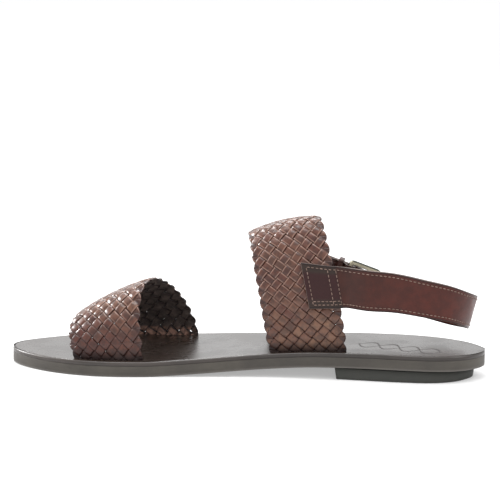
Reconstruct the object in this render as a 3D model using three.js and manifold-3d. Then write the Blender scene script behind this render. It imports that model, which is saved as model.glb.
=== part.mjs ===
// Woven leather sandal with a buckled heel strap, right foot, in millimetres, +Z up.
// The toe points to -X, the heel to +X, the inner side of the foot is -Y and the outer side +Y.
// The origin is the centre of the sandal's bounding box, on the plane it stands on.
import * as THREE from 'three';
import { mergeVertices } from 'three/addons/utils/BufferGeometryUtils.js';
import Module from 'manifold-3d';

const wasm = await Module();
wasm.setup();

// Sole and heel
const SOLE_LENGTH = 265;
const BALL_WIDTH = 88.7;
const OUTSOLE_THICKNESS = 6;
const OUTSOLE_BEVEL = 0.7;
const INSOLE_THICKNESS = 2.1;
const INSOLE_EDGE_RADIUS = 1.3;
const HEEL_HEIGHT = 6.6;
const HEEL_LENGTH = 80;
const HEEL_BACK_INSET = 5.5;
const HEEL_SIDE_INSET = 1;
const HEEL_TAPER = 0.8;

// Braided bands. The slopes are the shares of a cell its raised face stands in from the corners,
// toward the next strip and along its own.
const TOE_BAND_HEIGHT = 40;
const INSTEP_BAND_HEIGHT = 70;
const FOOT_INSET = 5.5;
const BRAID_WALL = 2.2;
const BRAID_RELIEF = 0.6;
const BRAID_CELLS_ACROSS = 6;
const SLOPE_ALONG = 0.1;
const SLOPE_BESIDE = 0.17;
const SCALLOP_DEPTH = 1.2;
const TOE_BAND_BULGE = 1.8;
const INSTEP_BAND_BULGE = 2.2;

// Heel strap: its height is that of its middle at the inner side of the instep band. It has risen
// over the buckle tab at the rise setback behind the hinge bar.
const STRAP_THICKNESS = 2.4;
const EDGE_ROUNDING = 0.3;
const STRAP_WIDTH = 22.5;
const STRAP_HEIGHT = 50;
const STRAP_SEAT_LENGTH = 15;
const STRAP_FREE_END = 14;
const STRAP_RISE_SETBACK = 3.5;
const HEEL_OPENING_WIDTH = 56;

// Buckle, its tab and the keeper loop, on the outer side. The length is between the bars. The
// buckle's centre lies behind the outer rear foot of the instep band, and in from it.
const BUCKLE_BAR = 2.4;
const BUCKLE_LENGTH = 16.6;
const BUCKLE_CORNER = 2.6;
const BUCKLE_BEVEL = 0.45;
const BUCKLE_CLEARANCE = 0.8;
const BUCKLE_BEHIND_FOOT = 15.25;
const BUCKLE_INSET = 0.75;
const BUCKLE_HEIGHT = 44;
const BUCKLE_SLOPE = 19;
const PRONG_WIDTH = 2.2;
const PRONG_THICKNESS = 1.2;
const PRONG_HOLE_SETBACK = 2.2;
const TAB_WIDTH = 17.1;
const TAB_THICKNESS = 1.4;
const TAB_SEAT_LENGTH = 17;
const TAB_RETURN = 8;
const KEEPER_WIDTH = 2.8;
const KEEPER_THICKNESS = 1.2;
const KEEPER_FROM_BAR = 4.3;

// Clearances between neighbouring pieces: flat ones, curved ones and the feet in their slots
const PIECE_GAP = 0.3;
const CURVED_GAP = 0.45;
const SLOT_GAP = 0.5;

// How finely the pieces are divided
const SOLE_STATIONS = 40;
const STRAP_STEPS = 52;
const TAB_STEPS = 32;
const STRAP_LANES = 5;
const SLOT_STEPS = 48;
const SLOT_LANES = 8;
const ARCH_SAMPLES = 240;
const SEAT_PASSES = 6;

// Sole outline seen from above. at is the share of the sole length from the heel end;
// centre is the offset of the middle toward the outer side and half the half width,
// both as shares of the ball width.
const OUTLINE = [
  { at: 0, centre: 0, half: 0 },
  { at: 0.012, centre: -0.02, half: 0.118 },
  { at: 0.04, centre: -0.013, half: 0.23 },
  { at: 0.09, centre: 0.003, half: 0.312 },
  { at: 0.17, centre: 0.025, half: 0.347 },
  { at: 0.26, centre: 0.037, half: 0.345 },
  { at: 0.36, centre: 0.047, half: 0.344 },
  { at: 0.46, centre: 0.06, half: 0.372 },
  { at: 0.56, centre: 0.063, half: 0.428 },
  { at: 0.65, centre: 0.047, half: 0.468 },
  { at: 0.72, centre: 0.024, half: 0.491 },
  { at: 0.78, centre: 0.001, half: 0.486 },
  { at: 0.84, centre: -0.015, half: 0.448 },
  { at: 0.89, centre: -0.024, half: 0.388 },
  { at: 0.93, centre: -0.036, half: 0.31 },
  { at: 0.965, centre: -0.051, half: 0.215 },
  { at: 0.988, centre: -0.062, half: 0.124 },
  { at: 1, centre: -0.066, half: 0 },
];

// Height of the outsole's underside, as shares of the heel height: level over the heel,
// down through the arch, flat on the ground under the ball, a touch of toe spring.
const UNDERSIDE = [
  { at: 0, rise: 1 },
  { at: 0.3, rise: 1 },
  { at: 0.36, rise: 0.92 },
  { at: 0.44, rise: 0.7 },
  { at: 0.52, rise: 0.44 },
  { at: 0.6, rise: 0.19 },
  { at: 0.68, rise: 0 },
  { at: 0.9, rise: 0 },
  { at: 0.95, rise: 0.03 },
  { at: 1, rise: 0.1 },
];

// Edges of the two bands. medialAt and lateralAt are the places of the feet along the sole;
// height is the crest's height above the insole as a share of the band's height; crest is its
// place across the foot; lean is how far the crest goes forward per unit of height;
// medialRound and lateralRound are the exponents of the two halves of the arch.
const TOE_EDGES = [
  {
    medialAt: 0.841, lateralAt: 0.79, height: 0.52, crest: 0.4, lean: 0.3,
    medialRound: 2.5, lateralRound: 1.9,
  },
  {
    medialAt: 0.697, lateralAt: 0.632, height: 1, crest: 0.37, lean: 0.17,
    medialRound: 2.5, lateralRound: 1.65,
  },
];
const INSTEP_EDGES = [
  {
    medialAt: 0.438, lateralAt: 0.471, height: 0.885, crest: 0.44, lean: 0.19,
    medialRound: 2.4, lateralRound: 2.2,
  },
  {
    medialAt: 0.28, lateralAt: 0.333, height: 1, crest: 0.44, lean: 0.18,
    medialRound: 2.4, lateralRound: 2.2,
  },
];

// Heel strap behind the instep band, from the inner side round the heel to the outer side.
// at is the place along the sole and side the place across, as a share of half the heel
// opening's width; height is its middle's height as a share of the strap height; facing is
// the direction of its outer face seen from above and tilt its lean outward at the top, in
// degrees; width is a share of the strap width.
const STRAP_ROUTE = [
  { at: 0.235, side: -0.98, height: 1, facing: -90, tilt: -3, width: 0.98 },
  { at: 0.18, side: -0.99, height: 0.985, facing: -90, tilt: 0, width: 0.95 },
  { at: 0.12, side: -0.94, height: 0.93, facing: -80, tilt: 4, width: 0.92 },
  { at: 0.072, side: -0.7, height: 0.86, facing: -55, tilt: 8, width: 0.89 },
  { at: 0.041, side: -0.32, height: 0.77, facing: -26, tilt: 12, width: 0.86 },
  { at: 0.031, side: 0.1, height: 0.7, facing: 2, tilt: 14, width: 0.85 },
  { at: 0.043, side: 0.52, height: 0.665, facing: 32, tilt: 12, width: 0.84 },
  { at: 0.08, side: 0.84, height: 0.66, facing: 62, tilt: 8, width: 0.82 },
  { at: 0.13, side: 0.97, height: 0.7, facing: 84, tilt: 4, width: 0.79 },
  { at: 0.18, side: 0.95, height: 0.75, facing: 90, tilt: 0, width: 0.77 },
];

// Where the strap lies on the inner side of the instep band. seat runs from its end, 0, to the
// band's rear edge, 1; height is its middle's distance up the band as a share of the strap height.
const STRAP_SEAT = [
  { seat: 0, height: 0.775, width: 1.1 },
  { seat: 0.5, height: 0.765, width: 1.06 },
  { seat: 1, height: 0.755, width: 1.02 },
  { seat: 1.3, height: 0.755, width: 1 },
];

// Where the strap's free end and the buckle tab lie on the outer side of the band: seat is the
// share of their seat's length forward of the band's rear edge, width a share of the tab width.
const FREE_END = [
  { seat: 0.3, width: 1 },
  { seat: 1, width: 0.8 },
];
const TAB_SEAT = [
  { seat: 1 },
  { seat: 0.6 },
  { seat: 0.15 },
];

// Leather, rubber and metal finishes
const FINISH = {
  outsole: { color: 0x504c46, roughness: 0.6, metalness: 0 },
  insole: { color: 0x4a403a, roughness: 0.3, metalness: 0 },
  heel: { color: 0x3e3e3a, roughness: 0.8, metalness: 0 },
  braid: { color: 0x785a50, roughness: 0.4, metalness: 0 },
  strap: { color: 0x583832, roughness: 0.4, metalness: 0 },
  brass: { color: 0x8f8a6a, roughness: 0.35, metalness: 1 },
};

/** Cubic through a table's rows; place maps a row's position to the variable it is smooth in. */
function fromTable(rows, column, at, place = (share) => share) {
  const last = rows.length - 1;
  const where = place(THREE.MathUtils.clamp(at, rows[0].at, rows[last].at));
  const spots = rows.map((row) => place(row.at));
  const values = rows.map((row) => row[column]);
  const chord = (i) => (values[i + 1] - values[i]) / (spots[i + 1] - spots[i]);
  const slope = (i) => {
    if (i === 0) return chord(0);
    if (i === last) return chord(last - 1);
    const before = spots[i] - spots[i - 1];
    const after = spots[i + 1] - spots[i];
    return (chord(i - 1) * after + chord(i) * before) / (before + after);
  };
  let k = 0;
  while (k < last - 1 && spots[k + 1] <= where) k += 1;
  const span = spots[k + 1] - spots[k];
  const t = (where - spots[k]) / span;
  const start = (2 * t ** 3 - 3 * t ** 2 + 1) * values[k] + (t ** 3 - 2 * t ** 2 + t) * span * slope(k);
  const end = (3 * t ** 2 - 2 * t ** 3) * values[k + 1] + (t ** 3 - t ** 2) * span * slope(k + 1);
  return start + end;
}

/** Angle round the sole, 0 at the heel end and pi at the toe, in which the outline is smooth. */
const turnOf = (share) => Math.acos(1 - 2 * share);

const alongX = (at) => SOLE_LENGTH * (0.5 - at);
const shareOfX = (x) => 0.5 - x / SOLE_LENGTH;
const undersideAt = (at) => HEEL_HEIGHT * Math.max(0, fromTable(UNDERSIDE, 'rise', at));
const outsoleTop = (x) => undersideAt(shareOfX(x)) + OUTSOLE_THICKNESS;
const insoleTop = (x) => outsoleTop(x) + PIECE_GAP + INSOLE_THICKNESS;

/** Edge of the sole at a share of its length: side -1 is the inner side, 1 the outer side. */
function soleEdge(at, side) {
  const centre = fromTable(OUTLINE, 'centre', at, turnOf);
  const half = fromTable(OUTLINE, 'half', at, turnOf);
  return BALL_WIDTH * (centre + side * half);
}

/** Closed outline as points: heel end, inner side, toe, then back along the outer side. */
function soleOutline() {
  const points = [];
  for (let i = 0; i < 2 * SOLE_STATIONS; i += 1) {
    const at = (1 - Math.cos((Math.PI * i) / SOLE_STATIONS)) / 2;
    points.push(new THREE.Vector2(alongX(at), soleEdge(at, i <= SOLE_STATIONS ? -1 : 1)));
  }
  return points;
}

/** Moves each outline point inward, square to the outline. */
function insetOutline(outline, inset) {
  const count = outline.length;
  return outline.map((point, i) => {
    const along = outline[(i + 1) % count].clone().sub(outline[(i + count - 1) % count]).normalize();
    return new THREE.Vector2(point.x - inset * -along.y, point.y - inset * along.x);
  });
}

/** BufferGeometry with its faces pointing out, whichever way round the triangles were listed. */
function closedGeometry(points, triangles) {
  let volume = 0;
  for (const [a, b, c] of triangles) {
    volume += points[a].dot(points[b].clone().cross(points[c]));
  }
  const facing = volume < 0 ? triangles.map(([a, b, c]) => [a, c, b]) : triangles;
  const geometry = new THREE.BufferGeometry();
  geometry.setAttribute('position', new THREE.Float32BufferAttribute(points.flatMap((p) => p.toArray()), 3));
  geometry.setIndex(facing.flat());
  return geometry;
}

/** Solid through closed rings of points, one above the other, capped by rungs across the sole. */
function ringSolid(rings) {
  const count = rings[0].length;
  const half = count / 2;
  const triangles = [];
  for (let k = 0; k + 1 < rings.length; k += 1) {
    for (let i = 0; i < count; i += 1) {
      const a = k * count + i;
      const b = k * count + ((i + 1) % count);
      triangles.push([a, b, b + count], [a, b + count, a + count]);
    }
  }
  const cap = (base, flip) => {
    for (let i = 0; i < half; i += 1) {
      const inner = [base + i, base + i + 1];
      const outer = [base + ((count - i) % count), base + ((count - i - 1) % count)];
      const faces = [[inner[0], outer[1], inner[1]], [inner[0], outer[0], outer[1]]];
      for (const face of faces) {
        if (new Set(face).size === 3) triangles.push(flip ? [...face].reverse() : face);
      }
    }
  };
  cap(0, false);
  cap((rings.length - 1) * count, true);
  return closedGeometry(rings.flat(), triangles);
}

/** Solid through sections that are closed polygons with the same number of points. */
function loftSolid(sections) {
  const count = sections[0].length;
  const last = (sections.length - 1) * count;
  const triangles = [];
  for (let k = 0; k + 1 < sections.length; k += 1) {
    for (let i = 0; i < count; i += 1) {
      const a = k * count + i;
      const b = k * count + ((i + 1) % count);
      triangles.push([a, b, b + count], [a, b + count, a + count]);
    }
  }
  for (let i = 0; i < count / 2 - 1; i += 1) {
    const j = count - 1 - i;
    triangles.push([i, j, j - 1], [i, j - 1, i + 1]);
    triangles.push([last + i, last + j - 1, last + j], [last + i, last + i + 1, last + j - 1]);
  }
  return closedGeometry(sections.flat(), triangles);
}

function toManifold(geometry) {
  const bare = geometry.clone();
  bare.deleteAttribute('normal');
  bare.deleteAttribute('uv');
  const merged = mergeVertices(bare, 1e-5);
  const vertProperties = new Float32Array(merged.attributes.position.array);
  const triVerts = new Uint32Array(merged.index.array);
  return new wasm.Manifold(new wasm.Mesh({ numProp: 3, vertProperties, triVerts }));
}

function fromManifold(solid) {
  const mesh = solid.getMesh();
  const geometry = new THREE.BufferGeometry();
  geometry.setAttribute('position', new THREE.BufferAttribute(new Float32Array(mesh.vertProperties), 3));
  geometry.setIndex(new THREE.BufferAttribute(new Uint32Array(mesh.triVerts), 1));
  return geometry;
}

const cut = (geometry, ...tools) => fromManifold(
  tools.reduce((solid, tool) => solid.subtract(toManifold(tool)), toManifold(geometry)),
);

/** Outsole: square side, small bevel on its bottom edge. */
function outsole() {
  const outline = soleOutline();
  const ring = (inset, up) => insetOutline(outline, inset).map(
    (p) => new THREE.Vector3(p.x, p.y, undersideAt(shareOfX(p.x)) + up),
  );
  return ringSolid([ring(OUTSOLE_BEVEL, 0), ring(0, OUTSOLE_BEVEL), ring(0, OUTSOLE_THICKNESS)]);
}

/** Insole on the outsole: its upper edge is rounded in three steps. */
function insole() {
  const outline = soleOutline();
  const radius = INSOLE_EDGE_RADIUS;
  const ring = (inset, down) => insetOutline(outline, inset).map(
    (p) => new THREE.Vector3(p.x, p.y, insoleTop(p.x) - down),
  );
  const rounding = [0, 30, 60, 90].map(THREE.MathUtils.degToRad).map(
    (angle) => ring(radius * (1 - Math.cos(angle)), radius * (1 - Math.sin(angle))),
  );
  return ringSolid([ring(0, INSOLE_THICKNESS), ...rounding]);
}

/** Heel block under the sole's rear, set in from its edge, with a straight front face. */
function heelBlock() {
  const back = HEEL_BACK_INSET;
  const xAt = (share) => SOLE_LENGTH / 2 - back - (HEEL_LENGTH - back) * share;
  const breast = HEEL_LENGTH / SOLE_LENGTH;
  const layer = (inset, z) => {
    const points = [];
    const sides = SOLE_STATIONS / 2;
    for (let i = 0; i <= 2 * sides; i += 1) {
      const step = i <= sides ? sides - i : i - sides;
      const share = 1 - Math.cos((Math.PI * step) / (2 * sides));
      const side = i <= sides ? -1 : 1;
      const middle = BALL_WIDTH * fromTable(OUTLINE, 'centre', share * breast, turnOf);
      const half = BALL_WIDTH * fromTable(OUTLINE, 'half', share * breast, turnOf);
      const narrowed = Math.max(0, half - (HEEL_SIDE_INSET + inset) * Math.min(1, half / (2 * back)));
      const x = xAt(share) - inset * (1 - 2 * share);
      points.push(new THREE.Vector3(x, middle + side * narrowed, z));
    }
    points.push(points[0].clone().lerp(points[points.length - 1], 0.5));
    return points;
  };
  const top = layer(0, HEEL_HEIGHT - PIECE_GAP);
  const bottom = layer(HEEL_TAPER, 0);
  return loftFan([bottom, top]);
}

/** Solid between two flat star-shaped layers, each capped by a fan from its last point. */
function loftFan([bottom, top]) {
  const count = bottom.length;
  const triangles = [];
  for (let i = 0; i < count; i += 1) {
    const j = (i + 1) % count;
    triangles.push([i, j, j + count], [i, j + count, i + count]);
  }
  for (let i = 0; i + 2 < count; i += 1) {
    triangles.push([count - 1, i + 1, i], [2 * count - 1, i + count, i + 1 + count]);
  }
  return closedGeometry([...bottom, ...top], triangles);
}

/** Place of a band's foot on the insole: side -1 is the inner side, 1 the outer side. */
function bandFoot(at, side) {
  const x = alongX(at);
  return new THREE.Vector3(x, soleEdge(at, side) - side * FOOT_INSET, insoleTop(x));
}

/** One edge of a band: a leaning arch between its two feet, which stand on the outsole. */
function archEdge(row, bandHeight, reach) {
  const medial = bandFoot(row.medialAt, -1);
  const lateral = bandFoot(row.lateralAt, 1);
  const height = row.height * bandHeight;
  const points = [];
  for (let i = 0; i <= ARCH_SAMPLES; i += 1) {
    const angle = (Math.PI * i) / ARCH_SAMPLES;
    const inner = angle < Math.PI / 2;
    const power = 2 / (inner ? row.medialRound : row.lateralRound);
    const out = Math.abs(Math.cos(angle)) ** power;
    const up = height * Math.sin(angle) ** power;
    const across = inner ? row.crest * (1 - out) : row.crest + (1 - row.crest) * out;
    const point = medial.clone().lerp(lateral, across);
    points.push(point.add(new THREE.Vector3(-row.lean * up, 0, up)));
  }
  const depth = INSOLE_THICKNESS + reach;
  const down = (foot3) => foot3.clone().setZ(foot3.z - depth);
  return new Polyline([down(medial), ...points, down(lateral)]);
}

/** Polyline read by the share of its length, also a little past its ends. */
class Polyline {
  constructor(points) {
    this.points = points;
    this.marks = [0];
    for (let i = 1; i < points.length; i += 1) {
      this.marks.push(this.marks[i - 1] + points[i].distanceTo(points[i - 1]));
    }
    this.length = this.marks[points.length - 1];
  }

  at(share) {
    const mark = share * this.length;
    let k = 0;
    while (k < this.points.length - 2 && this.marks[k + 1] < mark) k += 1;
    const t = (mark - this.marks[k]) / (this.marks[k + 1] - this.marks[k]);
    return this.points[k].clone().lerp(this.points[k + 1], t);
  }
}

/** Middle surface of a band: along runs from foot to foot, across from front to rear edge. */
class Band {
  constructor({ edges, height, bulge, footBulge }, reach = 0) {
    this.front = archEdge(edges[0], height, reach);
    this.rear = archEdge(edges[1], height, reach);
    this.bulge = bulge;
    this.footBulge = footBulge;
    this.reach = reach;
    this.length = (this.front.length + this.rear.length) / 2;
    this.width = this.front.at(0.5).distanceTo(this.rear.at(0.5));
  }

  ruled(along, across) {
    return this.front.at(along).lerp(this.rear.at(along), across);
  }

  facing(along, across) {
    const step = 0.01;
    const before = this.ruled(Math.max(0, along - step), across);
    const length = this.ruled(Math.min(1, along + step), across).sub(before);
    const width = this.ruled(along, across + step).sub(this.ruled(along, across - step));
    return length.cross(width).normalize().negate();
  }

  /** Point at a height off the middle surface, positive outward. */
  point(along, across, off = 0) {
    const rise = Math.sin(Math.PI * THREE.MathUtils.clamp(along, 0, 1));
    const swell = this.footBulge + (1 - this.footBulge) * rise;
    const bulge = this.bulge * 4 * across * (1 - across) * swell;
    const out = this.facing(along, across);
    const spot = this.ruled(along, across).addScaledVector(out, bulge + off);
    if (along <= 0 || along >= 1) spot.setZ(outsoleTop(spot.x) + PIECE_GAP - this.reach);
    return spot;
  }
}

// footBulge is the share of a band's bulge that is left at its feet.
const TOE_BAND = { edges: TOE_EDGES, height: TOE_BAND_HEIGHT, bulge: TOE_BAND_BULGE, footBulge: 1 };
const INSTEP_BAND = {
  edges: INSTEP_EDGES, height: INSTEP_BAND_HEIGHT, bulge: INSTEP_BAND_BULGE, footBulge: 0,
};
const toeBand = new Band(TOE_BAND);
const instepBand = new Band(INSTEP_BAND);

/** Braided wall: diamonds of raised strip on the outside, scalloped edges, a plain inner face. */
function braidedWall(band) {
  const pitch = band.width / BRAID_CELLS_ACROSS;
  const columns = 2 * Math.round(band.length / pitch);
  const rows = 2 * BRAID_CELLS_ACROSS;
  const scallop = SCALLOP_DEPTH / band.width;
  const acrossOf = (n) => {
    if (n < 0) return scallop * n;
    if (n > rows) return 1 + scallop * (n - rows);
    return n / rows;
  };
  const points = [];
  const known = new Map();
  const triangles = [];
  const vertex = (m, n, off) => {
    const key = `${m.toFixed(4)},${n.toFixed(4)},${off}`;
    if (!known.has(key)) {
      known.set(key, points.length);
      const share = THREE.MathUtils.clamp(m / columns, 0, 1);
      points.push(band.point(share, acrossOf(n), off));
    }
    return known.get(key);
  };
  const outside = BRAID_WALL / 2;
  const inside = -BRAID_WALL / 2;
  const quad = (a, b, c, d) => triangles.push([a, b, c], [a, c, d]);
  for (let m = 1; m < columns; m += 1) {
    for (let n = 0; n <= rows; n += 1) {
      if ((m + n) % 2 === 0) continue;
      const corners = [[m - 1, n], [m, n - 1], [m + 1, n], [m, n + 1]];
      const base = corners.map(([i, j]) => vertex(i, j, outside));
      const floor = corners.map(([i, j]) => vertex(i, j, inside));
      const first = n % 2 ? SLOPE_ALONG : SLOPE_BESIDE;
      const second = n % 2 ? SLOPE_BESIDE : SLOPE_ALONG;
      const place = (s, t) => {
        const low = [0, 1].map((k) => corners[0][k] * (1 - s) + corners[1][k] * s);
        const high = [0, 1].map((k) => corners[3][k] * (1 - s) + corners[2][k] * s);
        return [0, 1].map((k) => low[k] * (1 - t) + high[k] * t);
      };
      const raised = [[first, second], [1 - first, second], [1 - first, 1 - second], [first, 1 - second]];
      const top = raised.map(([s, t]) => {
        const [i, j] = place(s, t);
        const key = points.length;
        points.push(band.point(i / columns, acrossOf(j), outside + BRAID_RELIEF));
        return key;
      });
      for (let k = 0; k < 4; k += 1) {
        quad(base[k], base[(k + 1) % 4], top[(k + 1) % 4], top[k]);
      }
      quad(...top);
      quad(floor[0], floor[3], floor[2], floor[1]);
    }
  }
  const end = (m, inward) => {
    for (let n = 1; n < rows; n += 2) {
      const corners = [[m, n - 1], [m + inward, n], [m, n + 1]];
      const face = corners.map(([i, j]) => vertex(i, j, outside));
      const back = corners.map(([i, j]) => vertex(i, j, inside));
      triangles.push(inward > 0 ? face : [...face].reverse());
      triangles.push(inward > 0 ? [...back].reverse() : back);
      const rim = [[m, n - 1], [m, n + 1]].map(([i, j]) => [vertex(i, j, outside), vertex(i, j, inside)]);
      const side = [rim[0][0], rim[1][0], rim[1][1], rim[0][1]];
      quad(...(inward > 0 ? side : side.reverse()));
    }
  };
  end(0, 1);
  end(columns, -1);
  for (const [edge, beyond] of [[0, -1], [rows, rows + 1]]) {
    for (let m = 0; m < columns; m += 1) {
      const here = m % 2 ? beyond : edge;
      const next = m % 2 ? edge : beyond;
      const a = [vertex(m, here, outside), vertex(m, here, inside)];
      const b = [vertex(m + 1, next, outside), vertex(m + 1, next, inside)];
      const side = [a[0], a[1], b[1], b[0]];
      quad(...(edge === 0 ? side : side.reverse()));
    }
  }
  return closedGeometry(points, triangles);
}

/** Plain wall a clearance larger than a band's feet all round, to cut its slots. */
function slotCutter(shape) {
  const band = new Band(shape, OUTSOLE_THICKNESS / 2);
  const spare = (SCALLOP_DEPTH + SLOT_GAP) / band.width;
  const outside = BRAID_WALL / 2 + BRAID_RELIEF + SLOT_GAP;
  const inside = -BRAID_WALL / 2 - SLOT_GAP;
  const across = [];
  for (let lane = 0; lane <= SLOT_LANES; lane += 1) {
    across.push(-spare + (lane / SLOT_LANES) * (1 + 2 * spare));
  }
  const sections = [];
  for (let i = 0; i <= SLOT_STEPS; i += 1) {
    const share = i / SLOT_STEPS;
    const outer = across.map((v) => band.point(share, v, outside));
    const inner = across.map((v) => band.point(share, v, inside));
    sections.push([...outer, ...inner.reverse()]);
  }
  return loftSolid(sections);
}

/** Ribbon of leather through sections, each a row of points from its lower to its upper edge. */
function ribbonSolid(sections, thickness, steps) {
  const lanes = sections[0].length;
  const tracks = [];
  for (let lane = 0; lane < lanes; lane += 1) {
    const track = sections.map((section) => section[lane]);
    tracks.push(new THREE.CatmullRomCurve3(track, false, 'centripetal'));
  }
  const rounded = [];
  for (let i = 0; i <= steps; i += 1) {
    const t = i / steps;
    const middle = tracks.map((track) => track.getPoint(t));
    const along = tracks[(lanes - 1) / 2].getTangent(t);
    const across = middle[lanes - 1].clone().sub(middle[0]).normalize();
    const out = along.clone().cross(across).normalize();
    const half = thickness / 2;
    const inward = (lane) => thickness * EDGE_ROUNDING * (Number(lane === 0) - Number(lane === lanes - 1));
    const face = (sign) => middle.map(
      (point, lane) => point.clone().addScaledVector(out, sign * half).addScaledVector(across, inward(lane)),
    );
    rounded.push([middle[0], ...face(-1), middle[lanes - 1], ...face(1).reverse()]);
  }
  return loftSolid(rounded);
}

/** Places across a strap as shares of its width, from its lower edge to its upper edge. */
function laneShares() {
  const shares = [];
  for (let lane = 0; lane < STRAP_LANES; lane += 1) {
    shares.push(lane / (STRAP_LANES - 1) - 0.5);
  }
  return shares;
}

/** Straight section of strap at a point: width across, outer face toward facing, leaning by tilt. */
function flatSection(centre, width, facing, tilt) {
  const turn = THREE.MathUtils.degToRad(facing);
  const lean = THREE.MathUtils.degToRad(tilt);
  const outward = new THREE.Vector3(Math.cos(turn), Math.sin(turn), 0);
  const up = outward.multiplyScalar(Math.sin(lean)).setZ(Math.cos(lean));
  const section = [];
  for (const place of laneShares()) {
    section.push(centre.clone().addScaledVector(up, width * place));
  }
  return section;
}

/** Row of points across a strap that lies on a band: side -1 is the inner side of the foot. */
function seatSection(band, side, across, height, width, off) {
  const edgeLength = THREE.MathUtils.lerp(band.front.length, band.rear.length, across);
  const section = [];
  for (const place of laneShares()) {
    const up = (height + width * place) / edgeLength;
    section.push(band.point(side < 0 ? up : 1 - up, across, off));
  }
  return section;
}

// Buckle's own axes: forward along the strap, up across it, and outward from the foot.
const SLOPE = THREE.MathUtils.degToRad(BUCKLE_SLOPE);
const FORWARD = new THREE.Vector3(-Math.cos(SLOPE), 0, Math.sin(SLOPE));
const OUTWARD = new THREE.Vector3(0, 1, 0);
const UPWARD = OUTWARD.clone().cross(FORWARD);
const OUTER_REAR_FOOT = bandFoot(INSTEP_EDGES[1].lateralAt, 1);
const BUCKLE_CENTRE = new THREE.Vector3(
  OUTER_REAR_FOOT.x + BUCKLE_BEHIND_FOOT, OUTER_REAR_FOOT.y - BUCKLE_INSET, BUCKLE_HEIGHT,
);
const BUCKLE_PLACE = new THREE.Matrix4().makeBasis(FORWARD, UPWARD, OUTWARD).setPosition(BUCKLE_CENTRE);
const byBuckle = (forward, up, out) => new THREE.Vector3(forward, up, out).applyMatrix4(BUCKLE_PLACE);

const HALF_BAR = BUCKLE_BAR / 2;
const HINGE = BUCKLE_LENGTH / 2;
const BAR_REACH = Math.hypot(HALF_BAR, HALF_BAR - BUCKLE_BEVEL);
const PRONG_EYE = BAR_REACH + PIECE_GAP;
const PRONG_TOP = HALF_BAR + PIECE_GAP + PRONG_THICKNESS;
const STRAP_UNDER = -(HALF_BAR + PIECE_GAP + STRAP_THICKNESS / 2);
const TAB_LEVEL = BAR_REACH + PIECE_GAP + TAB_THICKNESS / 2;
const STRAP_OVER = TAB_LEVEL + TAB_THICKNESS / 2 + PIECE_GAP + STRAP_THICKNESS / 2;

/** Straight section of strap in the buckle's own axes. */
function buckleSection(forward, out, width) {
  const section = [];
  for (const place of laneShares()) {
    section.push(byBuckle(forward, width * place, out));
  }
  return section;
}

/** Distance up the outer side of the band at which it meets the buckle's slope. */
function lateralSeatHeight(band, across) {
  const edgeLength = THREE.MathUtils.lerp(band.front.length, band.rear.length, across);
  let up = 0;
  for (let pass = 0; pass < SEAT_PASSES; pass += 1) {
    const spot = band.point(1 - up / edgeLength, across);
    up += BUCKLE_HEIGHT + (BUCKLE_CENTRE.x - spot.x) * Math.tan(SLOPE) - spot.z;
  }
  return up;
}

/** Heel strap: stitched on the inner side, round the heel, through the buckle to its free end. */
function heelStrap(band) {
  const off = BRAID_WALL / 2 + BRAID_RELIEF + CURVED_GAP + STRAP_THICKNESS / 2;
  const sections = STRAP_SEAT.map((row) => seatSection(
    band, -1, 1 - ((1 - row.seat) * STRAP_SEAT_LENGTH) / band.width,
    row.height * STRAP_HEIGHT, row.width * STRAP_WIDTH, off,
  ));
  for (const row of STRAP_ROUTE) {
    const centre = new THREE.Vector3(
      alongX(row.at), (row.side * HEEL_OPENING_WIDTH) / 2, row.height * STRAP_HEIGHT,
    );
    sections.push(flatSection(centre, row.width * STRAP_WIDTH, row.facing, row.tilt));
  }
  sections.push(buckleSection(-HINGE - HALF_BAR, STRAP_UNDER, TAB_WIDTH));
  sections.push(buckleSection(-HINGE + BUCKLE_BAR, STRAP_UNDER, TAB_WIDTH));
  sections.push(buckleSection(HINGE - STRAP_RISE_SETBACK, STRAP_OVER - 2 * PIECE_GAP, TAB_WIDTH));
  sections.push(buckleSection(HINGE, STRAP_OVER, TAB_WIDTH));
  sections.push(buckleSection(HINGE + TAB_RETURN, STRAP_OVER, TAB_WIDTH));
  const over = BRAID_WALL / 2 + BRAID_RELIEF + 2 * CURVED_GAP + TAB_THICKNESS + STRAP_THICKNESS / 2;
  for (const { seat, width } of FREE_END) {
    const across = 1 - (seat * STRAP_FREE_END) / band.width;
    sections.push(seatSection(band, 1, across, lateralSeatHeight(band, across), width * TAB_WIDTH, over));
  }
  const strap = ribbonSolid(sections, STRAP_THICKNESS, STRAP_STEPS);
  const hole = new THREE.BoxGeometry(
    BUCKLE_LENGTH, PRONG_WIDTH + 2 * PIECE_GAP, PRONG_THICKNESS + 2 * PIECE_GAP,
  );
  hole.translate(-PRONG_HOLE_SETBACK, 0, HALF_BAR + PIECE_GAP + PRONG_THICKNESS / 2);
  hole.applyMatrix4(BUCKLE_PLACE);
  return cut(strap, hole);
}

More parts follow.
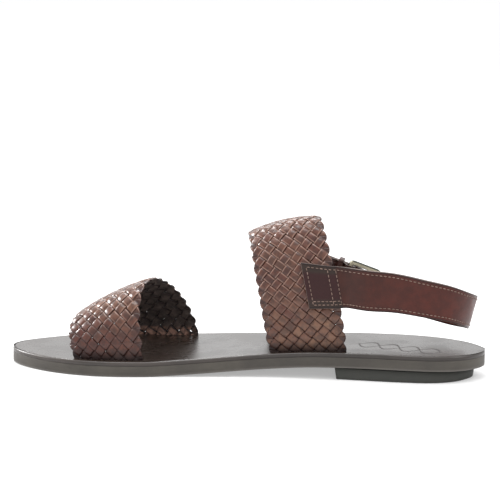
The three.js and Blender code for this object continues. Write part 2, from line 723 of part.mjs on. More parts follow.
/** Tab on the outer side: stitched on the band, looped round the hinge bar, returned behind. */
function buckleTab(band) {
  const off = BRAID_WALL / 2 + BRAID_RELIEF + CURVED_GAP + TAB_THICKNESS / 2;
  const sections = [];
  for (const { seat } of TAB_SEAT) {
    const across = 1 - (seat * TAB_SEAT_LENGTH) / band.width;
    sections.push(seatSection(band, 1, across, lateralSeatHeight(band, across), TAB_WIDTH, off));
  }
  sections.push(buckleSection(HINGE + TAB_RETURN, TAB_LEVEL, TAB_WIDTH));
  sections.push(buckleSection(HINGE + TAB_RETURN / 2, TAB_LEVEL, TAB_WIDTH));
  for (let angle = 0; angle <= 180; angle += 30) {
    const turn = THREE.MathUtils.degToRad(angle);
    sections.push(buckleSection(HINGE - TAB_LEVEL * Math.sin(turn), TAB_LEVEL * Math.cos(turn), TAB_WIDTH));
  }
  const behind = TAB_LEVEL - TAB_THICKNESS - PIECE_GAP;
  sections.push(buckleSection(HINGE + HALF_BAR + PIECE_GAP, -TAB_LEVEL, TAB_WIDTH));
  sections.push(buckleSection(HINGE + KEEPER_FROM_BAR - PIECE_GAP, behind, TAB_WIDTH));
  sections.push(buckleSection(HINGE + TAB_RETURN, behind, TAB_WIDTH));
  const tab = ribbonSolid(sections, TAB_THICKNESS, TAB_STEPS);
  const reach = TAB_LEVEL + TAB_THICKNESS / 2 + PIECE_GAP;
  const notch = new THREE.BoxGeometry(2 * reach, PRONG_WIDTH + 2 * PIECE_GAP, 4 * TAB_LEVEL);
  notch.translate(HINGE, 0, 0);
  notch.applyMatrix4(BUCKLE_PLACE);
  return cut(tab, notch);
}

/** Rounded rectangle as a shape or a hole, centred. */
function roundedRectangle(length, height, corner, Kind = THREE.Shape) {
  const x = length / 2;
  const y = height / 2;
  const shape = new Kind();
  shape.moveTo(-x + corner, -y);
  shape.lineTo(x - corner, -y);
  shape.absarc(x - corner, -y + corner, corner, -Math.PI / 2, 0);
  shape.lineTo(x, y - corner);
  shape.absarc(x - corner, y - corner, corner, 0, Math.PI / 2);
  shape.lineTo(-x + corner, y);
  shape.absarc(-x + corner, y - corner, corner, Math.PI / 2, Math.PI);
  shape.lineTo(-x, -y + corner);
  shape.absarc(-x + corner, -y + corner, corner, Math.PI, 1.5 * Math.PI);
  return shape;
}

/** Brass frame round the strap. */
function buckleFrame() {
  const height = TAB_WIDTH + 2 * BUCKLE_CLEARANCE;
  const shape = roundedRectangle(
    BUCKLE_LENGTH + BUCKLE_BAR, height + 2 * BUCKLE_BAR, BUCKLE_CORNER,
  );
  const inside = Math.max(BUCKLE_BEVEL, BUCKLE_CORNER - BUCKLE_BAR);
  shape.holes.push(roundedRectangle(BUCKLE_LENGTH - BUCKLE_BAR, height, inside, THREE.Path));
  const frame = new THREE.ExtrudeGeometry(shape, {
    depth: BUCKLE_BAR - 2 * BUCKLE_BEVEL,
    bevelThickness: BUCKLE_BEVEL,
    bevelSize: BUCKLE_BEVEL,
    bevelOffset: -BUCKLE_BEVEL,
    bevelSegments: 1,
    curveSegments: 3,
  });
  frame.translate(0, 0, BUCKLE_BEVEL - HALF_BAR);
  return frame.applyMatrix4(BUCKLE_PLACE);
}

/** Pin: an eye round the hinge bar and a straight tongue that rests on the far bar. */
function buckleProng() {
  const low = HALF_BAR + PIECE_GAP;
  const tip = -BUCKLE_LENGTH - HALF_BAR;
  const shape = new THREE.Shape();
  shape.moveTo(tip, low);
  shape.lineTo(-Math.sqrt(PRONG_TOP ** 2 - low ** 2), low);
  shape.absarc(0, 0, PRONG_TOP, Math.PI - Math.asin(low / PRONG_TOP), 2.5 * Math.PI);
  shape.lineTo(tip + PRONG_THICKNESS / 2, PRONG_TOP);
  shape.closePath();
  const hole = new THREE.Path();
  hole.absarc(0, 0, PRONG_EYE, 0, 2 * Math.PI);
  shape.holes.push(hole);
  const prong = new THREE.ExtrudeGeometry(shape, {
    depth: PRONG_WIDTH,
    bevelEnabled: false,
    curveSegments: 10,
  });
  prong.rotateX(Math.PI / 2);
  prong.translate(HINGE, PRONG_WIDTH / 2, 0);
  return prong.applyMatrix4(BUCKLE_PLACE);
}

/** Leather loop round the strap's free end and the two plies of the tab. */
function strapKeeper() {
  const low = TAB_LEVEL - 1.5 * TAB_THICKNESS - 2 * PIECE_GAP;
  const high = STRAP_OVER + STRAP_THICKNESS / 2 + CURVED_GAP;
  const width = TAB_WIDTH + 2 * PIECE_GAP;
  const thick = KEEPER_THICKNESS;
  const shape = roundedRectangle(high - low + 2 * thick, width + 2 * thick, thick);
  shape.holes.push(roundedRectangle(high - low, width, PIECE_GAP, THREE.Path));
  const keeper = new THREE.ExtrudeGeometry(shape, {
    depth: KEEPER_WIDTH,
    bevelEnabled: false,
    curveSegments: 3,
  });
  keeper.rotateY(Math.PI / 2);
  keeper.translate(HINGE + KEEPER_FROM_BAR, 0, (low + high) / 2);
  return keeper.applyMatrix4(BUCKLE_PLACE);
}

const parts = [
  { name: 'outsole', geometry: outsole(), finish: FINISH.outsole },
  {
    name: 'insole',
    geometry: cut(insole(), slotCutter(TOE_BAND), slotCutter(INSTEP_BAND)),
    finish: FINISH.insole,
  },
  { name: 'heel', geometry: heelBlock(), finish: FINISH.heel },
  { name: 'toe_band', geometry: braidedWall(toeBand), finish: FINISH.braid },
  { name: 'instep_band', geometry: braidedWall(instepBand), finish: FINISH.braid },
  { name: 'heel_strap', geometry: heelStrap(instepBand), finish: FINISH.strap },
  { name: 'buckle_tab', geometry: buckleTab(instepBand), finish: FINISH.strap },
  { name: 'buckle_frame', geometry: buckleFrame(), finish: FINISH.brass },
  { name: 'buckle_prong', geometry: buckleProng(), finish: FINISH.brass },
  { name: 'strap_keeper', geometry: strapKeeper(), finish: FINISH.strap },
];

const group = new THREE.Group();
for (const { name, geometry, finish } of parts) {
  const mesh = new THREE.Mesh(geometry, new THREE.MeshStandardMaterial(finish));
  mesh.name = name;
  group.add(mesh);
}
const box = new THREE.Box3().setFromObject(group);
const middle = box.getCenter(new THREE.Vector3());
group.position.set(-middle.x, -middle.y, -box.min.z);
group.updateMatrixWorld(true);

export default group;
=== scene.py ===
"""Looks of a right woven leather sandal with a buckled heel strap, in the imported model's frame.

Lengths are in metres and +Z is up. The toe points to -X and the inner side of the foot is -Y.
"""

import bisect
import logging
import math
from dataclasses import dataclass, field, replace
from enum import Enum
from typing import Callable, Iterator, NamedTuple, Sequence

import bmesh
import bpy
from mathutils import Matrix, Vector, noise

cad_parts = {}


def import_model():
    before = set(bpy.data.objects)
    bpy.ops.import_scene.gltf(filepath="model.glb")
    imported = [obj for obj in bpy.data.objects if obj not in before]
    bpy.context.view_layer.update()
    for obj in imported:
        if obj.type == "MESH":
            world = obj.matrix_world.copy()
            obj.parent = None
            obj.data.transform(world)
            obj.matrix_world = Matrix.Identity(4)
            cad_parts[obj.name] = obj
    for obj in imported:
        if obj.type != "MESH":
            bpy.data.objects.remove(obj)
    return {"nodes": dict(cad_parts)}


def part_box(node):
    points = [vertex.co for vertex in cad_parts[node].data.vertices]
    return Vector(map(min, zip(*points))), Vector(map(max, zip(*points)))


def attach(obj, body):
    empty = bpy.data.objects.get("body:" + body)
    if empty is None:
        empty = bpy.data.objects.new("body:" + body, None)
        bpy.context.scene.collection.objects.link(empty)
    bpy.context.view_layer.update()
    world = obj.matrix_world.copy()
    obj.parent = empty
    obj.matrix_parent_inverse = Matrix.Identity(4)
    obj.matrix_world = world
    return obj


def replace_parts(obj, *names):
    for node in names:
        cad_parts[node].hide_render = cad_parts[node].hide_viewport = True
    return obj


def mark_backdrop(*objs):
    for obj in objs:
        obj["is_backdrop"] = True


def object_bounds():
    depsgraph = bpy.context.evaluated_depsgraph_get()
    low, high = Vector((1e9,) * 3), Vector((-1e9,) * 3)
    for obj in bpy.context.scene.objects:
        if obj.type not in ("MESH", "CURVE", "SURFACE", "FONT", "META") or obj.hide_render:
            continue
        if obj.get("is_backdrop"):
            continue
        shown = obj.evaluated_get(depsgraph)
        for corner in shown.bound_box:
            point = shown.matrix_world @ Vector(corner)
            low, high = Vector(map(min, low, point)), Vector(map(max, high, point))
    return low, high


LOG = logging.getLogger("woven_sandal")
MM = 0.001
BALL_WIDTH = 88.7 * MM
TOE_BAND_HEIGHT = 40 * MM
TOE_BAND_BULGE = 1.8 * MM
INSTEP_BAND_HEIGHT = 70 * MM
INSTEP_BAND_BULGE = 2.2 * MM
TOE_BRAID_SEED = 3.7
INSTEP_BRAID_SEED = 11.2
NOISE_SEED = 7
WELD_DISTANCE = 0.001 * MM
Color = tuple[float, float, float]
Place = tuple[float, float, float]
Socket = bpy.types.NodeSocket
Feed = Socket | float | tuple[float, ...] | Vector


class Slot(Enum):
    """Material slots."""

    SOLE = "sole_leather"
    INSOLE = "insole_leather"
    HEEL = "heel_rubber"
    BRAID = "braided_leather"
    STRAP = "strap_leather"
    BRASS = "buckle_brass"


class Side(Enum):
    """Side of the foot, as the sign of y."""

    INNER = -1
    OUTER = 1


class OutlineRow(NamedTuple):
    """Sole outline: share of the length from the heel end, middle and half width by ball width."""

    at: float
    centre: float
    half: float


class UndersideRow(NamedTuple):
    """Underside: share of the length from the heel end and height by heel height."""

    at: float
    rise: float


class EdgeRow(NamedTuple):
    """Edge of a band: its feet along the sole, crest, lean and the roundness of its two halves."""

    inner_at: float
    outer_at: float
    height: float
    crest: float
    lean: float
    inner_round: float
    outer_round: float


class RouteRow(NamedTuple):
    """Section of the heel strap behind the instep band."""

    at: float
    side: float
    height: float
    facing: float
    tilt: float
    width: float


class SeatRow(NamedTuple):
    """Section of the heel strap on the inner side of the instep band."""

    seat: float
    height: float
    width: float


class FreeRow(NamedTuple):
    """Section of the strap's free end or of the buckle tab on the outer side of the band."""

    seat: float
    width: float


OUTLINE = (
    OutlineRow(0, 0, 0),
    OutlineRow(0.012, -0.02, 0.118),
    OutlineRow(0.04, -0.013, 0.23),
    OutlineRow(0.09, 0.003, 0.312),
    OutlineRow(0.17, 0.025, 0.347),
    OutlineRow(0.26, 0.037, 0.345),
    OutlineRow(0.36, 0.047, 0.344),
    OutlineRow(0.46, 0.06, 0.372),
    OutlineRow(0.56, 0.063, 0.428),
    OutlineRow(0.65, 0.047, 0.468),
    OutlineRow(0.72, 0.024, 0.491),
    OutlineRow(0.78, 0.001, 0.486),
    OutlineRow(0.84, -0.015, 0.448),
    OutlineRow(0.89, -0.024, 0.388),
    OutlineRow(0.93, -0.036, 0.31),
    OutlineRow(0.965, -0.051, 0.215),
    OutlineRow(0.988, -0.062, 0.124),
    OutlineRow(1, -0.066, 0),
)
UNDERSIDE = (
    UndersideRow(0, 1),
    UndersideRow(0.3, 1),
    UndersideRow(0.36, 0.92),
    UndersideRow(0.44, 0.7),
    UndersideRow(0.52, 0.44),
    UndersideRow(0.6, 0.19),
    UndersideRow(0.68, 0),
    UndersideRow(0.9, 0),
    UndersideRow(0.95, 0.03),
    UndersideRow(1, 0.1),
)
TOE_EDGES = (
    EdgeRow(0.841, 0.79, 0.52, 0.4, 0.3, 2.5, 1.9),
    EdgeRow(0.697, 0.632, 1, 0.37, 0.17, 2.5, 1.65),
)
INSTEP_EDGES = (
    EdgeRow(0.438, 0.471, 0.885, 0.44, 0.19, 2.4, 2.2),
    EdgeRow(0.28, 0.333, 1, 0.44, 0.18, 2.4, 2.2),
)
STRAP_ROUTE = (
    RouteRow(0.235, -0.98, 1, -90, -3, 0.98),
    RouteRow(0.18, -0.99, 0.985, -90, 0, 0.95),
    RouteRow(0.12, -0.94, 0.93, -80, 4, 0.92),
    RouteRow(0.072, -0.7, 0.86, -55, 8, 0.89),
    RouteRow(0.041, -0.32, 0.77, -26, 12, 0.86),
    RouteRow(0.031, 0.1, 0.7, 2, 14, 0.85),
    RouteRow(0.043, 0.52, 0.665, 32, 12, 0.84),
    RouteRow(0.08, 0.84, 0.66, 62, 8, 0.82),
    RouteRow(0.13, 0.97, 0.7, 84, 4, 0.79),
    RouteRow(0.18, 0.95, 0.75, 90, 0, 0.77),
)
STRAP_SEAT = (
    SeatRow(0, 0.775, 1.1),
    SeatRow(0.5, 0.765, 1.06),
    SeatRow(1, 0.755, 1.02),
    SeatRow(1.3, 0.755, 1),
)
FREE_END = (FreeRow(0.3, 1), FreeRow(1, 0.8))
TAB_SEAT = (FreeRow(1, 1), FreeRow(0.6, 1), FreeRow(0.15, 1))


def lerp(low: float, high: float, share: float) -> float:
    """Value at a share of the way from low to high."""
    return low + (high - low) * share


def smoothstep(share: float) -> float:
    """Smooth rise from 0 to 1 while share goes from 0 to 1."""
    held = min(1.0, max(0.0, share))
    return held * held * (3 - 2 * held)


def turn_of(share: float) -> float:
    """Angle round the sole, 0 at the heel end and pi at the toe, in which the outline is smooth."""
    return math.acos(1 - 2 * share)


class TableCurve:
    """Cubic through one column of a table."""

    def __init__(self, rows: Sequence, column: str, place: Callable[[float], float] = float) -> None:
        """Reads the table.

        Args:
            rows: rows with an at column.
            column: name of the column that holds the values.
            place: maps at to the variable in which the curve is smooth.
        """
        self.place = place
        self.limits = (rows[0].at, rows[-1].at)
        self.spots = [place(row.at) for row in rows]
        self.values = [getattr(row, column) for row in rows]
        chords = [
            (self.values[i + 1] - self.values[i]) / (self.spots[i + 1] - self.spots[i])
            for i in range(len(rows) - 1)
        ]
        slopes = [chords[0]]
        for i in range(1, len(rows) - 1):
            before = self.spots[i] - self.spots[i - 1]
            after = self.spots[i + 1] - self.spots[i]
            slopes.append((chords[i - 1] * after + chords[i] * before) / (before + after))
        self.slopes = [*slopes, chords[-1]]

    def __call__(self, at: float) -> float:
        """Value at a share of the length.

        Args:
            at: share of the length from the heel end.

        Returns:
            The value there.
        """
        where = self.place(min(self.limits[1], max(self.limits[0], at)))
        k = min(len(self.spots) - 2, max(0, bisect.bisect_right(self.spots, where) - 1))
        span = self.spots[k + 1] - self.spots[k]
        t = (where - self.spots[k]) / span
        start = (2 * t**3 - 3 * t**2 + 1) * self.values[k] + (t**3 - 2 * t**2 + t) * span * self.slopes[k]
        end = (3 * t**2 - 2 * t**3) * self.values[k + 1] + (t**3 - t**2) * span * self.slopes[k + 1]
        return start + end


@dataclass(frozen=True)
class SoleForm:
    """Heights and outline of the sole, from which every other piece takes its place."""

    side_shift: float
    length: float = 265 * MM
    ball_width: float = BALL_WIDTH
    outsole_thickness: float = 6 * MM
    insole_thickness: float = 2.1 * MM
    heel_height: float = 6.6 * MM
    gap: float = 0.3 * MM
    centre: TableCurve = TableCurve(OUTLINE, "centre", turn_of)
    half: TableCurve = TableCurve(OUTLINE, "half", turn_of)
    rise: TableCurve = TableCurve(UNDERSIDE, "rise")

    def x_at(self, at: float) -> float:
        """Place along X of a share of the length from the heel end."""
        return self.length * (0.5 - at)

    def share_of(self, x: float) -> float:
        """Share of the length from the heel end at a place along X."""
        return 0.5 - x / self.length

    def edge(self, at: float, side: float) -> float:
        """Place across the sole: side -1 is its inner edge, 1 its outer edge, 0 its middle."""
        return self.ball_width * (self.centre(at) + side * self.half(at)) + self.side_shift

    def underside(self, x: float) -> float:
        """Height of the outsole's underside."""
        return self.heel_height * max(0.0, self.rise(self.share_of(x)))

    def outsole_top(self, x: float) -> float:
        """Height of the outsole's top."""
        return self.underside(x) + self.outsole_thickness

    def insole_top(self, x: float) -> float:
        """Height of the insole's top."""
        return self.outsole_top(x) + self.gap + self.insole_thickness


class Polyline:
    """Polyline read by the share of its length, also a little past its ends."""

    def __init__(self, points: Sequence[Vector]) -> None:
        """Marks the length at each point.

        Args:
            points: its corners, from one end to the other.
        """
        self.points = points
        self.marks = [0.0]
        for before, after in zip(points, points[1:]):
            self.marks.append(self.marks[-1] + (after - before).length)
        self.length = self.marks[-1]

    def at(self, share: float) -> Vector:
        """Point at a share of the length.

        Args:
            share: share of the length from its first end.

        Returns:
            The point there.
        """
        mark = share * self.length
        k = min(len(self.points) - 2, max(0, bisect.bisect_right(self.marks, mark) - 1))
        t = (mark - self.marks[k]) / (self.marks[k + 1] - self.marks[k])
        return self.points[k].lerp(self.points[k + 1], t)


@dataclass
class BandForm:
    """Middle surface of a band: along runs from foot to foot, across from front to rear edge."""

    sole: SoleForm
    edges: Sequence[EdgeRow]
    height: float
    bulge: float
    foot_bulge: float
    foot_inset: float = 5.5 * MM
    samples: int = 240
    front: Polyline = field(init=False)
    rear: Polyline = field(init=False)

    def __post_init__(self) -> None:
        """Builds the two edges."""
        self.front = self._arch(self.edges[0])
        self.rear = self._arch(self.edges[1])

    @property
    def length(self) -> float:
        """Length from foot to foot."""
        return (self.front.length + self.rear.length) / 2

    @property
    def width(self) -> float:
        """Width at the crest."""
        return (self.front.at(0.5) - self.rear.at(0.5)).length

    def foot(self, at: float, side: Side) -> Vector:
        """Place of a foot on the insole's top.

        Args:
            at: share of the sole's length from the heel end.
            side: side of the foot.

        Returns:
            The place.
        """
        x = self.sole.x_at(at)
        y = self.sole.edge(at, side.value) - side.value * self.foot_inset
        return Vector((x, y, self.sole.insole_top(x)))

    def _arch(self, row: EdgeRow) -> Polyline:
        """Leaning arch of one edge, whose feet go down to the outsole.

        Args:
            row: shape of the edge.

        Returns:
            The edge from its inner foot to its outer foot.
        """
        inner = self.foot(row.inner_at, Side.INNER)
        outer = self.foot(row.outer_at, Side.OUTER)
        height = row.height * self.height
        points = []
        for i in range(self.samples + 1):
            angle = math.pi * i / self.samples
            is_inner = angle < math.pi / 2
            power = 2 / (row.inner_round if is_inner else row.outer_round)
            out = abs(math.cos(angle)) ** power
            up = height * max(0.0, math.sin(angle)) ** power
            across = row.crest * (1 - out) if is_inner else row.crest + (1 - row.crest) * out
            points.append(inner.lerp(outer, across) + Vector((-row.lean * up, 0, up)))
        down = Vector((0, 0, self.sole.insole_thickness))
        return Polyline([inner - down, *points, outer - down])

    def ruled(self, along: float, across: float) -> Vector:
        """Point of the straight line between the two edges."""
        return self.front.at(along).lerp(self.rear.at(along), across)

    def facing(self, along: float, across: float) -> Vector:
        """Direction away from the foot.

        Args:
            along: share of the way from the inner foot to the outer foot.
            across: share of the way from the front edge to the rear edge.

        Returns:
            The direction, of length 1.
        """
        step = 0.01
        length = self.ruled(min(1, along + step), across) - self.ruled(max(0, along - step), across)
        width = self.ruled(along, across + step) - self.ruled(along, across - step)
        return -length.cross(width).normalized()

    def point(self, along: float, across: float, off: float = 0.0) -> Vector:
        """Point of the wall.

        Args:
            along: share of the way from the inner foot to the outer foot.
            across: share of the way from the front edge to the rear edge.
            off: height above the middle surface, positive outward.

        Returns:
            The point.
        """
        held = min(1.0, max(0.0, along))
        swell = self.foot_bulge + (1 - self.foot_bulge) * math.sin(math.pi * held)
        bulge = self.bulge * 4 * across * (1 - across) * swell
        return self.ruled(along, across) + self.facing(held, across) * (bulge + off)


def finished(bm: bmesh.types.BMesh, name: str, smooth: bool = True) -> bpy.types.Object:
    """Turns a bmesh into an object at the origin.

    Args:
        bm: the mesh, which is freed.
        name: name of the object.
        smooth: whether its faces are shaded smooth.

    Returns:
        The object.
    """
    for face in bm.faces:
        face.smooth = smooth
    mesh = bpy.data.meshes.new(name)
    bm.to_mesh(mesh)
    bm.free()
    piece = bpy.data.objects.new(name, mesh)
    bpy.context.scene.collection.objects.link(piece)
    return piece


def dress(piece: bpy.types.Object, slot: Slot, *materials: bpy.types.Material) -> bpy.types.Object:
    """Gives a piece its materials and body.

    Args:
        piece: the piece.
        slot: its material slot; not used.
        materials: its materials, in the order of its material numbers.

    Returns:
        The same piece.
    """
    for material in materials:
        piece.data.materials.append(material)
    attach(piece, "root")
    return piece


def solidify(piece: bpy.types.Object, thickness: float, rim_material: int = 0) -> None:
    """Gives a sheet its thickness on both sides of its middle.

    Args:
        piece: the sheet.
        thickness: its thickness.
        rim_material: how far on in its list of materials the rim's material stands.
    """
    modifier = piece.modifiers.new("thickness", "SOLIDIFY")
    modifier.thickness = thickness
    modifier.offset = 0
    modifier.use_even_offset = True
    modifier.material_offset_rim = rim_material


def bevel(piece: bpy.types.Object, width: float, segments: int) -> None:
    """Rounds the sharp edges of a piece.

    Args:
        piece: the piece.
        width: width of the rounding.
        segments: faces across the rounding.
    """
    modifier = piece.modifiers.new("rounding", "BEVEL")
    modifier.width = width
    modifier.segments = segments
    modifier.limit_method = "ANGLE"
    modifier.angle_limit = math.radians(50)


class NodeTree:
    """Short hand for wiring a shader node tree."""

    def __init__(self, tree: bpy.types.NodeTree) -> None:
        """Keeps the tree."""
        self.tree = tree

    def add(self, kind: str, settings: dict | None = None, **inputs: Feed) -> bpy.types.Node:
        """Adds a node.

        Args:
            kind: its type name, without the ShaderNode part.
            settings: its own properties.
            inputs: values or output sockets for its inputs, by name with _ for a space.

        Returns:
            The node.
        """
        node = self.tree.nodes.new(kind if kind.startswith("Node") else f"ShaderNode{kind}")
        for name, value in (settings or {}).items():
            setattr(node, name, value)
        for name, value in inputs.items():
            self.feed(self._socket(node, name), value)
        return node

    def _socket(self, node: bpy.types.Node, name: str) -> Socket:
        """Input socket of a name, or of a number written as i0, i1.

        Args:
            node: the node.
            name: name of the input with _ for a space, or i and its number.

        Returns:
            The input.
        """
        if name[0] == "i" and name[1:].isdigit():
            return node.inputs[int(name[1:])]
        return node.inputs[name.replace("_", " ")]

    def feed(self, socket: Socket, value: Feed) -> None:
        """Links an output to a socket, or sets the socket's own value.

        Args:
            socket: the input.
            value: an output, a number, a vector or a colour.
        """
        if isinstance(value, bpy.types.NodeSocket):
            self.tree.links.new(value, socket)
        elif isinstance(value, tuple) and len(value) == 3 and socket.type == "RGBA":
            socket.default_value = (*value, 1)
        else:
            socket.default_value = value

    def math(self, operation: str, first: Feed, second: Feed = 0.0) -> Socket:
        """Result of a maths node."""
        return self.add("Math", {"operation": operation}, i0=first, i1=second).outputs[0]

    def multiply_add(self, first: Feed, second: Feed, third: Feed) -> Socket:
        """First times second plus third."""
        return self.add("Math", {"operation": "MULTIPLY_ADD"}, i0=first, i1=second, i2=third).outputs[0]

    def between(self, value: Feed, low: Feed, high: float, start: float = 0.0, end: float = 1.0) -> Socket:
        """Value carried smoothly from low..high to start..end, and held outside.

        Args:
            value: the value.
            low: value that gives the start.
            high: value that gives the end.
            start: what it gives at and before low.
            end: what it gives at and past high.

        Returns:
            The carried value.
        """
        node = self.add(
            "MapRange", {"interpolation_type": "SMOOTHSTEP"},
            i0=value, i1=low, i2=high, i3=start, i4=end,
        )
        return node.outputs[0]

    def mix(self, share: Feed, first: Feed, second: Feed) -> Socket:
        """Mix of two colours.

        Args:
            share: share of the second colour.
            first: first colour.
            second: second colour.

        Returns:
            The mixed colour.
        """
        node = self.add("Mix", {"data_type": "RGBA"})
        self.feed(node.inputs[0], share)
        self.feed(node.inputs[6], first)
        self.feed(node.inputs[7], second)
        return node.outputs[2]

    def dot(self, vector: Socket, axis: Vector) -> Socket:
        """Reach of a vector along an axis."""
        node = self.add("VectorMath", {"operation": "DOT_PRODUCT"}, i0=vector, i1=tuple(axis))
        return node.outputs["Value"]

    def offset(self, vector: Socket, centre: Place) -> Socket:
        """Vector from a centre."""
        node = self.add("VectorMath", {"operation": "SUBTRACT"}, i0=vector, i1=centre)
        return node.outputs["Vector"]

    def cell_noise(self, number: Socket, shift: float = 0.0) -> bpy.types.Node:
        """White noise of a number, each shift with its own values."""
        return self.add("TexWhiteNoise", {"noise_dimensions": "1D"}, W=self.math("ADD", number, shift))

    def noise(self, scale: float, vector: Feed, detail: float = 3.0, roughness: float = 0.55) -> Socket:
        """Height of a noise of a scale, in waves per metre."""
        node = self.add("TexNoise", Vector=vector, Scale=scale, Detail=detail, Roughness=roughness)
        return node.outputs["Fac"]

    def attribute(self, name: str) -> Socket:
        """Number that the mesh holds at each point."""
        return self.add("Attribute", {"attribute_name": name}).outputs["Fac"]


def grain_group() -> bpy.types.NodeTree:
    """Leather grain: small pebbles broken up by a finer noise, as a height from 0 to 1.

    Returns:
        The node group.
    """
    name = "leather_grain"
    if name in bpy.data.node_groups:
        return bpy.data.node_groups[name]
    group = bpy.data.node_groups.new(name, "ShaderNodeTree")
    group.interface.new_socket("Vector", in_out="INPUT", socket_type="NodeSocketVector")
    scale = group.interface.new_socket("Scale", in_out="INPUT", socket_type="NodeSocketFloat")
    scale.default_value = 900
    group.interface.new_socket("Height", in_out="OUTPUT", socket_type="NodeSocketFloat")
    tree = NodeTree(group)
    start = tree.add("NodeGroupInput")
    end = tree.add("NodeGroupOutput")
    pebbles = tree.add("TexVoronoi", {"feature": "F1"}, Vector=start.outputs[0], Scale=start.outputs[1])
    fine = tree.add("TexNoise", Vector=start.outputs[0], Detail=4.0, Roughness=0.6)
    tree.feed(fine.inputs["Scale"], tree.math("MULTIPLY", start.outputs[1], 1.7))
    finer = tree.math("MULTIPLY", fine.outputs["Fac"], 0.5)
    tree.feed(end.inputs[0], tree.multiply_add(pebbles.outputs["Distance"], 0.6, finer))
    return group


def patina_group() -> bpy.types.NodeTree:
    """Uneven tone of hand-finished leather: a mask from 0 to 1 of broad and narrow clouds.

    Returns:
        The node group.
    """
    name = "patina"
    if name in bpy.data.node_groups:
        return bpy.data.node_groups[name]
    group = bpy.data.node_groups.new(name, "ShaderNodeTree")
    group.interface.new_socket("Vector", in_out="INPUT", socket_type="NodeSocketVector")
    scale = group.interface.new_socket("Scale", in_out="INPUT", socket_type="NodeSocketFloat")
    scale.default_value = 40
    group.interface.new_socket("Mask", in_out="OUTPUT", socket_type="NodeSocketFloat")
    tree = NodeTree(group)
    start = tree.add("NodeGroupInput")
    end = tree.add("NodeGroupOutput")
    broad = tree.add("TexNoise", Vector=start.outputs[0], Scale=start.outputs[1], Detail=2.0)
    narrow = tree.add("TexNoise", Vector=start.outputs[0], Detail=5.0, Roughness=0.7)
    tree.feed(narrow.inputs["Scale"], tree.math("MULTIPLY", start.outputs[1], 6.0))
    narrower = tree.math("MULTIPLY", narrow.outputs["Fac"], 0.3)
    both = tree.multiply_add(broad.outputs["Fac"], 0.7, narrower)
    tree.feed(end.inputs[0], tree.between(both, 0.36, 0.64))
    return group


@dataclass(frozen=True)
class Finish:
    """Colours and gloss that every finish has."""

    name: str
    base: Color
    deep: Color
    roughness: float
    bump: float = 0.1

    def start(self) -> tuple[bpy.types.Material, NodeTree, bpy.types.Node]:
        """New material with its shader.

        Returns:
            The material, its tree and its Principled node.
        """
        material = bpy.data.materials.new(self.name)
        material.use_nodes = True
        tree = NodeTree(material.node_tree)
        return material, tree, material.node_tree.nodes["Principled BSDF"]

    def place(self, tree: NodeTree) -> Socket:
        """Object coordinates."""
        return tree.add("TexCoord").outputs["Object"]

    def patina(self, tree: NodeTree, vector: Socket, scale: float) -> Socket:
        """Uneven tone mask."""
        return tree.add("Group", {"node_tree": patina_group()}, Vector=vector, Scale=scale).outputs[0]

    def grain(self, tree: NodeTree, vector: Socket, scale: float) -> Socket:
        """Grain height."""
        return tree.add("Group", {"node_tree": grain_group()}, Vector=vector, Scale=scale).outputs[0]

    def relief(self, tree: NodeTree, shader: bpy.types.Node, height: Socket, distance: float) -> None:
        """Bumps the shader's normal."""
        node = tree.add("Bump", Height=height, Strength=self.bump, Distance=distance)
        tree.feed(shader.inputs["Normal"], node.outputs[0])


